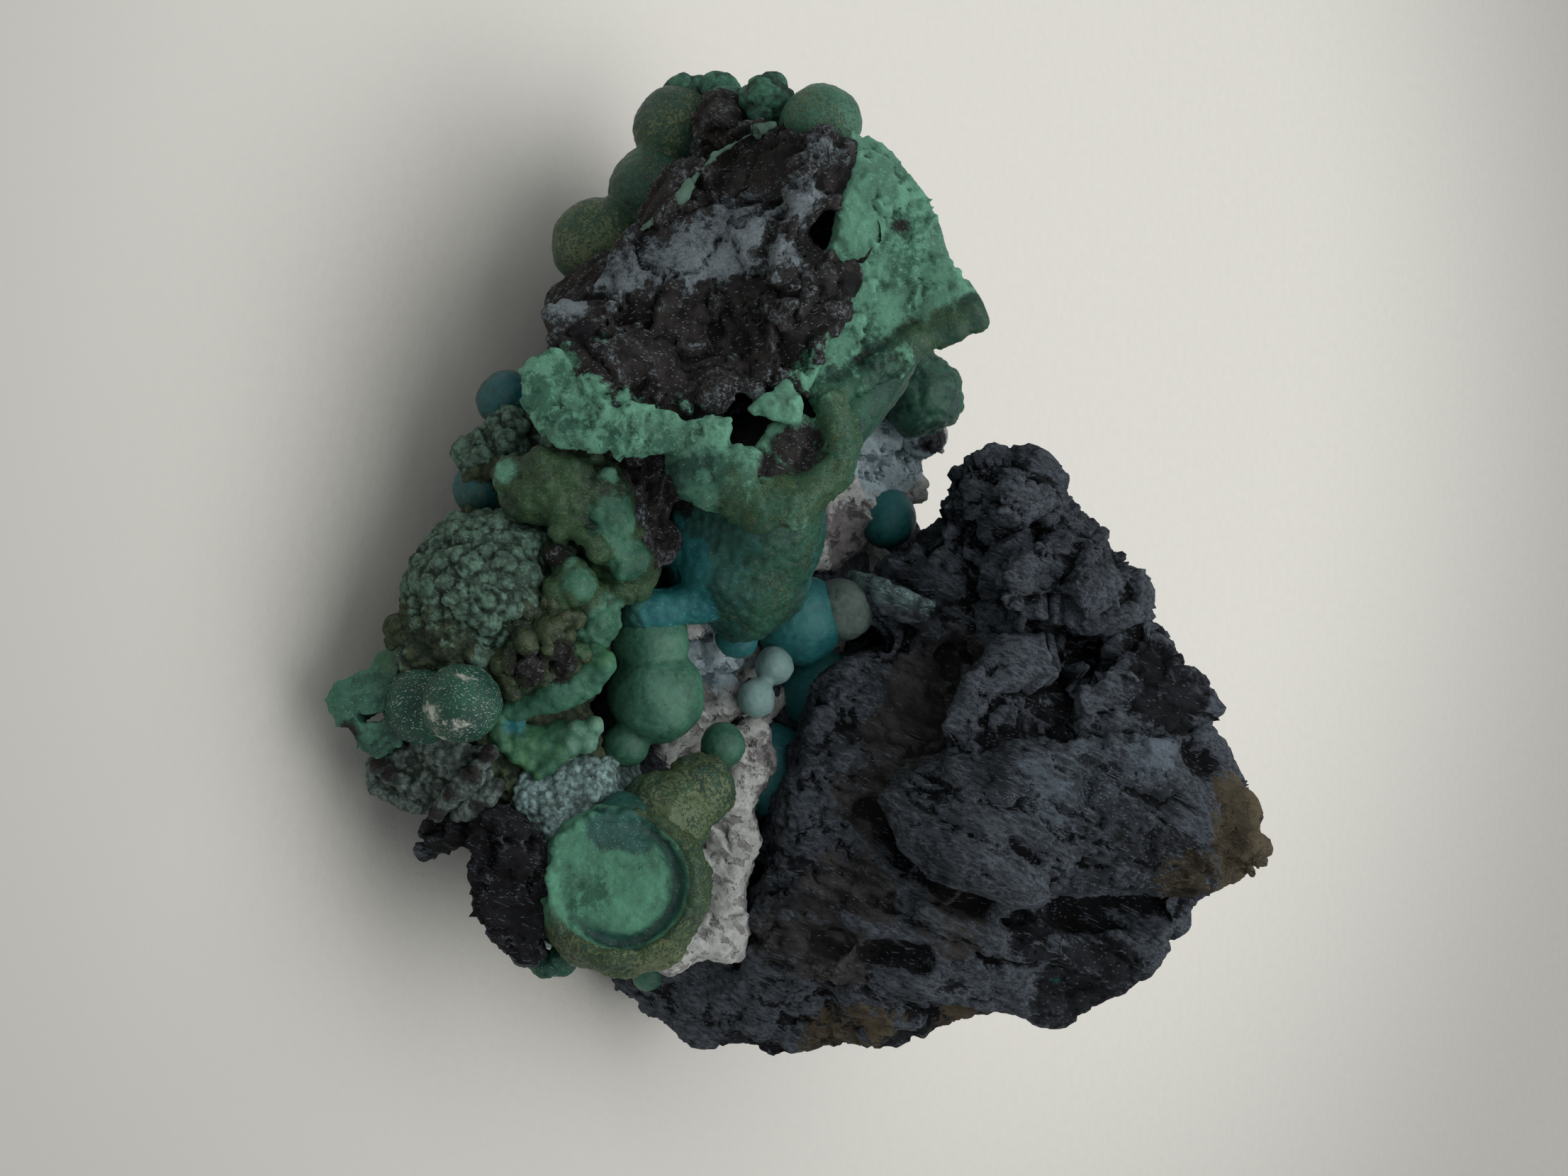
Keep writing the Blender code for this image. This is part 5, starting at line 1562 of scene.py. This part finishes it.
class SPECIMEN_OT_foot(Maker, bpy.types.Operator):
    """The rock that carries everything, cut level underneath, and the ground between the growths"""

    bl_idname = "specimen.foot"
    bl_label = "Foot"

    def build(self, sizes, shades):
        brown = [(-4, 21, 9, 4.5), (22, 21, 8, 4), (30, 8, 8, 3), (-24, 8, 8, 4)]
        zones = [(rock(shades.slab_brown, shades.ochre, 0.35, 0.6), brown, 1.6)]
        skin = finish("foot_rock", rock(shades.slab_dark, shades.slab_blue, 0.60, 0.4), zones, 0.5, 0.12)
        break_rock("foot", FOOT_CHUNKS, sizes.foot_grid, skin, foot_height, level=True)
        bank = snow(shades.blue_snow, shades.blue_pit)
        zones = [
            (bank, [(-8.2, 13, 18.5, 4), (-9.5, 9, 17, 4), (5.5, -0.5, 15, 3.2), (8.5, -3, 14, 2.5)], 0.8),
            (rock(shades.crag_brown, shades.slab_blue, 0.4), [(-8.4, 15, 20.6, 1.3)], 0.4),
            (snow(shades.lilac, shades.slab_grey), [
                (-1.5, 10.3, 16.9, 2.4), (1, 11, 16, 2), (12.6, 2.2, 16.4, 1.6), (15.6, 2.2, 16, 1.7),
                (22.8, 2, 15, 0.8),
            ], 1.2),
        ]
        skin = finish("hollow_crust", snow(shades.white, shades.lilac), zones, 0.5, 0.2)
        lumps = dict(chunks=FLOOR_CHUNKS, balls=WHITE_BALLS, ribs=("white_bank",))
        grow("hollow_floor", sizes.rock_grid, floor_height, skin, **lumps)
        zones = [(druse(shades.grey, shades.pale_druse), [(14.5, -13, 13, 2.5)], 0.5)]
        skin = finish("front_rock", druse(shades.moss, shades.druse_olive), zones)
        break_rock("front_rock", FRONT_CHUNKS, sizes.rock_grid, skin, pits=("saddle_gap",))
        ground = rock(shades.black, shades.slab_blue, 0.14, 0.4)
        skin = finish("black_rock", ground, stretch=0.4, specular=0.2)
        break_rock("black_shard", SHARD_CHUNKS, sizes.rim_grid, skin, shard_height, ledge=0.6)


class SPECIMEN_OT_balls(Maker, bpy.types.Operator):
    """The grape-like balls, each kind in its own skin"""

    bl_idname = "specimen.balls"
    bl_label = "Balls"

    def build(self, sizes, shades):
        gold = shades.gold
        kinds = (
            ("pale_left_ball", PALE_LEFT_BALLS, shades.green, shades.soft_green, 0.5, satin_height),
            ("left_balls", LEFT_BALLS, shades.dark_skin, shades.green, 0.6, satin_height),
            ("green_balls", GREEN_BALLS, shades.green, shades.soft_green, 0.25, satin_height),
            ("gold_balls", GOLD_BALLS, shades.dark_skin, shades.green, 0.7, knotty_height),
            ("teal_balls", TEAL_BALLS, shades.deep_teal, shades.teal, 0.02, satin_height),
            ("low_teal_balls", LOW_TEAL_BALLS, shades.deep_teal, shades.dark_skin, 0.2, satin_height),
            ("grey_dome", GREY_BALLS, shades.grey, shades.druse_blue, 0.1, satin_height),
            ("back_balls", BACK_BALLS, shades.dark_skin, shades.green, 0.3, knotty_height),
        )
        for name, balls, deep, light, dust, relief in kinds:
            skin = finish(name + "_skin", satin(deep, light, gold, dust, 0.8 * dust), specular=0.45)
            grow(name, sizes.ball_grid, relief, skin, balls=balls)
        skin = finish("pale_skin", satin(shades.pale, shades.pale_druse, shades.mint, 0.05, 0.1))
        grow("pale_balls", sizes.ball_grid, satin_height, skin, balls=PALE_BALLS)
        skin = finish("speckled_skin", druse(shades.slab_dark, shades.soft_green, 1.2))
        grow("speckled_balls", sizes.ball_grid, knobbly_height, skin, balls=SPECKLED_BALLS)


class SPECIMEN_OT_curtain(Maker, bpy.types.Operator):
    """The smooth teal curtain that hangs into the hollow, with its lobe and finger"""

    bl_idname = "specimen.curtain"
    bl_label = "Curtain"

    def build(self, sizes, shades):
        zones = [
            (satin(shades.dark_skin, shades.green, shades.gold, 0.45, 0.5), [
                (-1.5, -4.2, 24.2, 2.2), (1, -4.5, 23.4, 2.4), (3.6, -3.6, 21.8, 2.4),
            ], 1.6),
            # Painted shade: near-black patches in the shade under the fold.
            (rock(shades.black, shades.black, 0.1), [(-8.7, -5.5, 21.1, 2), (-4, -7, 18, 1.4)], 0.6),
            (satin(shades.deep_teal, shades.teal, shades.pale, 0.05, 0.1), [
                (3, -7.4, 17.4, 2.6), (0.2, -7.2, 18.4, 2), (-1.5, -8, 16.5, 2),
            ], 0.6),
        ]
        ground = satin(shades.dark_skin, shades.teal_green, shades.gold, 0.15, 0.15)
        skin = finish("curtain_skin", ground, zones)
        lumps = dict(balls=CURTAIN_BALLS, ribs=("finger",), masses=("curtain",))
        grow("curtain", sizes.ball_grid, drape_height, skin, **lumps)


class SPECIMEN_OT_front_growths(Maker, bpy.types.Operator):
    """The knobbly ridge, the curl, the brown cluster, the standing plate and the pebbles"""

    bl_idname = "specimen.front_growths"
    bl_label = "Front growths"

    def build(self, sizes, shades):
        gold = shades.gold
        fresh = mint(shades.mint, shades.green)
        brown = rock(shades.crag_brown, shades.crag_blue, 0.1, 0.4)
        zones = [
            (satin(shades.green, shades.soft_green, gold, 0.2, 0.5), [
                (0, -12.4, 18, 1.4), (-2.4, -13.6, 18, 1.6), (1.4, -15.6, 17, 1), (4, -12.8, 16.4, 1.8),
            ], 0.6),
            (fresh, [
                (-5.1, -14.1, 18, 0.5), (0.5, -15.5, 16.1, 0.5), (-5.4, -18.2, 13.2, 0.8),
                (-4.4, -18, 12.4, 0.5),
            ], 0.4),
            (brown, [(-0.3, -16, 15.2, 0.8), (-5, -11, 17.8, 1.6)], 0.3),
        ]
        skin = finish("ridge_skin", satin(shades.moss, shades.olive, gold, 0.35, 0.6), zones)
        lumps = dict(balls=RIDGE_BALLS, ribs=("knobbly_ridge", "curl"), masses=("ridge_flake",))
        grow("knobbly_ridge", sizes.rim_grid, knotty_height, skin, **lumps)
        zones = [
            (brown, [(6, -15.8, 15.6, 1), (6.7, -17.9, 14.9, 1.1)], 0.4),
            (satin(shades.olive, shades.apple, gold, 0.2), [(5.6, -14.8, 16.4, 0.5)], 0.3),
        ]
        skin = finish("cluster_skin", satin(shades.moss, shades.druse_olive, gold, 0.3, 0.6), zones)
        lumps = dict(balls=CLUSTER_BALLS, masses=("cluster_bed",))
        grow("brown_cluster", sizes.druse_grid, cluster_height, skin, **lumps)
        zones = [
            (satin(shades.green, shades.apple, gold, 0.1), [(5.6, -13.9, 17, 1.2)], 0.3),
            (brown, [(6.6, -15.4, 15, 1), (7.4, -16.2, 13.6, 0.7)], 0.4),
        ]
        skin = finish("plate_skin", satin(shades.green, shades.soft_green, gold, 0.1, 0.3), zones)
        grow("standing_plate", sizes.ball_grid, drape_height, skin, masses=("plate",))
        zones = [
            (satin(shades.soft_green, shades.pale_mint, gold, 0.05, 0.1), [(10.9, -12.8, 15, 1.6)], 0.3),
            (satin(shades.deep_teal, shades.teal, gold, 0.05), [(9.9, -16.4, 12, 0.8)], 0.3),
        ]
        skin = finish("pebble_skin", satin(shades.green, shades.apple, gold, 0.1, 0.1), zones)
        grow("mint_pebbles", sizes.druse_grid, satin_height, skin, balls=PEBBLE_BALLS + PEBBLE_BED)


class SPECIMEN_OT_druse(Maker, bpy.types.Operator):
    """The druse of tiny balls in front, the patched balls, the tip and the pale druse round the stem"""

    bl_idname = "specimen.druse"
    bl_label = "Druse"

    def build(self, sizes, shades):
        zones = [
            (druse(shades.moss, shades.druse_olive, 1.8, 0.6), [
                (5.5, -20, 9.5, 2.6), (4.5, -21, 7, 2.2),
            ], 1.0),
            (rock(shades.black, shades.moss, 0.1), [(-0.8, -21, 7.6, 0.8)], 0.2),
        ]
        skin = finish("druse_skin", druse(shades.moss, shades.druse, 1.8, 0.3), zones)
        grow("druse_dome", sizes.druse_grid, druse_height, skin, balls=DRUSE_DOME_BALLS)
        zones = [
            (mint(shades.fleck, shades.olive, 0.2), [
                (9.8, -22.6, 13.6, 0.5), (9, -23.4, 12.2, 0.5), (10.4, -22.4, 12.2, 0.4),
                (7.2, -22.4, 13.8, 0.3),
            ], 0.9),
        ]
        skin = finish("patched_skin", satin(shades.dark_skin, shades.green, shades.fleck, 0.3, 0.5), zones)
        grow("patched_balls", sizes.ball_grid, satin_height, skin, balls=PATCHED_BALLS)
        skin = finish("moss_skin", druse(shades.moss, shades.druse, 2.0, 0.5))
        grow("moss_balls", sizes.druse_grid, druse_height, skin, balls=MOSS_BALLS)
        skin = finish("stem_druse", druse(shades.grey, shades.pale_druse, 2.4, 0.1))
        grow("pale_druse", sizes.druse_grid, fine_druse_height, skin, chunks=STEM_CHUNKS)
        edges = [
            (11.9, -19, 12.5, 0.6), (13.1, -19.6, 11.6, 0.6), (14.2, -19.9, 10.3, 0.6),
            (15.5, -20, 8.8, 0.6), (14, -17.9, 12.8, 0.5), (15, -18.6, 11.4, 0.5), (13.3, -21.2, 6.1, 0.6),
            (12.6, -21.6, 5.2, 0.7),
        ]
        zones = [(rock(shades.crag_brown, shades.slab_grey, 0.2, 0.4), edges, 0.35)]
        skin = finish("druse_foot_skin", druse(shades.moss, shades.druse_blue, 2.0, 0.3), zones)
        lumps = dict(chunks=DRUSE_FOOT_CHUNKS, ribs=("foot_ridge", "side_ridge", "low_ridge"))
        grow("druse_foot", sizes.druse_grid, fine_druse_height, skin, **lumps)
        zones = [
            (satin(shades.olive, shades.green, shades.gold, 0.3), [(5.8, -22.4, 7.4, 1.1)], 0.3),
            (mint(shades.soft_green, shades.dark_skin), [
                (8.6, -25, 4.4, 1.3), (7.2, -24.2, 4.9, 0.8), (10.4, -24.2, 4.6, 0.7), (9.2, -22.9, 7, 0.5),
                (7, -23, 7, 0.4),
            ], 0.4),
            (rock(shades.crag_brown, shades.crag_blue, 0.1), [(10.5, -23.7, 5.2, 0.6)], 0.3),
        ]
        ground = satin(shades.dark_skin, shades.soft_green, shades.mint, 0.15, 0.2)
        skin = finish("tip_skin", ground, zones, specular=0.4)
        grow("front_tip", sizes.rim_grid, facet_height, skin, chunks=TIP_CHUNKS)
        skin = finish("flake_skin", satin(shades.dark_skin, shades.green, shades.mint, 0.2))
        grow("right_flakes", sizes.rim_grid, torn_height, skin, balls=RIGHT_FLAKE_BALLS)


class SPECIMEN_OT_cut_ball(Maker, bpy.types.Operator):
    """The ball that is broken open, with its mint disc, a teal-green ring darkened by painted shade in its
    groove, and golden shell
    """

    bl_idname = "specimen.cut_ball"
    bl_label = "Cut ball"

    def build(self, sizes, shades):
        piece = object_from("cut_ball", cut_ball_mesh())
        wrap(piece, sizes.ball_grid / MM)
        drop_bubbles(piece)
        keep_rings(piece)
        raise_skin(piece, cut_ball_height)
        keep_stand(piece)
        # The groove's ring: teal-green, darkened as painted shade of the groove's wall on its upper side.
        groove = satin(shades.dark_skin, shades.teal_green, shades.mint, 0.05, 0.1)
        shell = satin(shades.dark_skin, shades.olive, shades.gold, 0.65, 0.7)
        masks = [(groove, "groove", 0.35, 0.75), (shell, "shell", 0.4, 0.7)]
        lobe = satin(shades.dark_skin, shades.teal_green, shades.mint, 0.15, 0.3)
        zones = [(lobe, [(16.3, -12.2, 18.2, 1.7), (16.6, -13, 16.6, 1.4), (18, -11.8, 20.6, 0.9)], 0.35)]
        ground = mint(shades.cut_mint, shades.green, 0.15)
        skin = finish("cut_ball_rings", ground, zones, masks=masks, specular=0.4)
        dress(piece, skin)
        zones = [(rock(shades.crag_brown, shades.crag_blue, 0.1), [(16.6, -14.8, 15.6, 0.5)], 0.3)]
        skin = finish("lobe_skin", satin(shades.dark_skin, shades.teal_green, shades.gold, 0.15, 0.3), zones)
        grow("cut_ball_lobes", sizes.ball_grid, satin_height, skin, balls=LOBE_BALLS)


class SPECIMEN_OT_stage(Maker, bpy.types.Operator):
    """The table top, the window light, the fill and the camera"""

    bl_idname = "specimen.stage"
    bl_label = "Stage"

    def build(self, sizes, shades):
        scene = bpy.context.scene
        mesh = bmesh.new()
        bmesh.ops.create_grid(mesh, x_segments=8, y_segments=8, size=sizes.table_width / 2)
        table = object_from("table_top", mesh)
        table.location.z = TABLE_LEVEL
        table.data.materials.append(table_finish(shades.table))
        lights = (
            ("window", WINDOW_PLACE, WINDOW_SIZE, sizes.key_power),
            ("fill", FILL_PLACE, FILL_SIZE, sizes.fill_power),
        )
        for name, place, size, power in lights:
            lamp = bpy.data.lights.new(name, "AREA")
            lamp.size = size
            lamp.energy = power
            holder = bpy.data.objects.new(name, lamp)
            holder.location = place
            holder.rotation_euler = (AIM - Vector(place)).to_track_quat("-Z", "Y").to_euler()
            scene.collection.objects.link(holder)
        world = bpy.data.worlds.new("room")
        world.use_nodes = True
        light = world.node_tree.nodes["Background"].inputs
        light["Color"].default_value = ROOM_COLOUR
        light["Strength"].default_value = sizes.room_light
        scene.world = world
        scene.view_settings.view_transform = "Standard"
        lens = bpy.data.cameras.new("camera")
        lens.lens = LENS
        lens.sensor_width = SENSOR_WIDTH
        lens.clip_start = 0.01
        camera = bpy.data.objects.new("camera", lens)
        up = Vector((0, math.sin(ELEVATION), math.cos(ELEVATION)))
        away = Vector((0, -math.cos(ELEVATION), math.sin(ELEVATION)))
        turn = Matrix((up, Vector((-1, 0, 0)), away)).transposed()
        camera.matrix_world = Matrix.Translation(AIM + away * CAMERA_DISTANCE) @ turn.to_4x4()
        scene.collection.objects.link(camera)
        scene.camera = camera


class SPECIMEN_PT_sidebar(bpy.types.Panel):
    """Lists the specimen's pieces, sizes and colours"""

    bl_label = "Chrysocolla Specimen"
    bl_idname = "SPECIMEN_PT_sidebar"
    bl_space_type = "VIEW_3D"
    bl_region_type = "UI"
    bl_category = "Specimen"

    def draw(self, context):
        for operator in OPERATORS:
            self.layout.operator(operator.bl_idname)
        for group in settings(context):
            box = self.layout.box()
            for name in group.__annotations__:
                box.prop(group, name)


OPERATORS = (
    SPECIMEN_OT_slab,
    SPECIMEN_OT_crag,
    SPECIMEN_OT_rim,
    SPECIMEN_OT_foot,
    SPECIMEN_OT_balls,
    SPECIMEN_OT_curtain,
    SPECIMEN_OT_front_growths,
    SPECIMEN_OT_druse,
    SPECIMEN_OT_cut_ball,
    SPECIMEN_OT_stage,
)
CLASSES = (SpecimenShades, SpecimenSizes, *OPERATORS, SPECIMEN_PT_sidebar)


def register():
    for kind in CLASSES:
        bpy.utils.register_class(kind)
    bpy.types.Scene.specimen_shades = bpy.props.PointerProperty(type=SpecimenShades)
    bpy.types.Scene.specimen_sizes = bpy.props.PointerProperty(type=SpecimenSizes)


def unregister():
    del bpy.types.Scene.specimen_sizes
    del bpy.types.Scene.specimen_shades
    for kind in reversed(CLASSES):
        bpy.utils.unregister_class(kind)


def main():
    register()
    for operator in OPERATORS:
        family, name = operator.bl_idname.split(".")
        getattr(getattr(bpy.ops, family), name)()


if __name__ == "__main__":
    main()
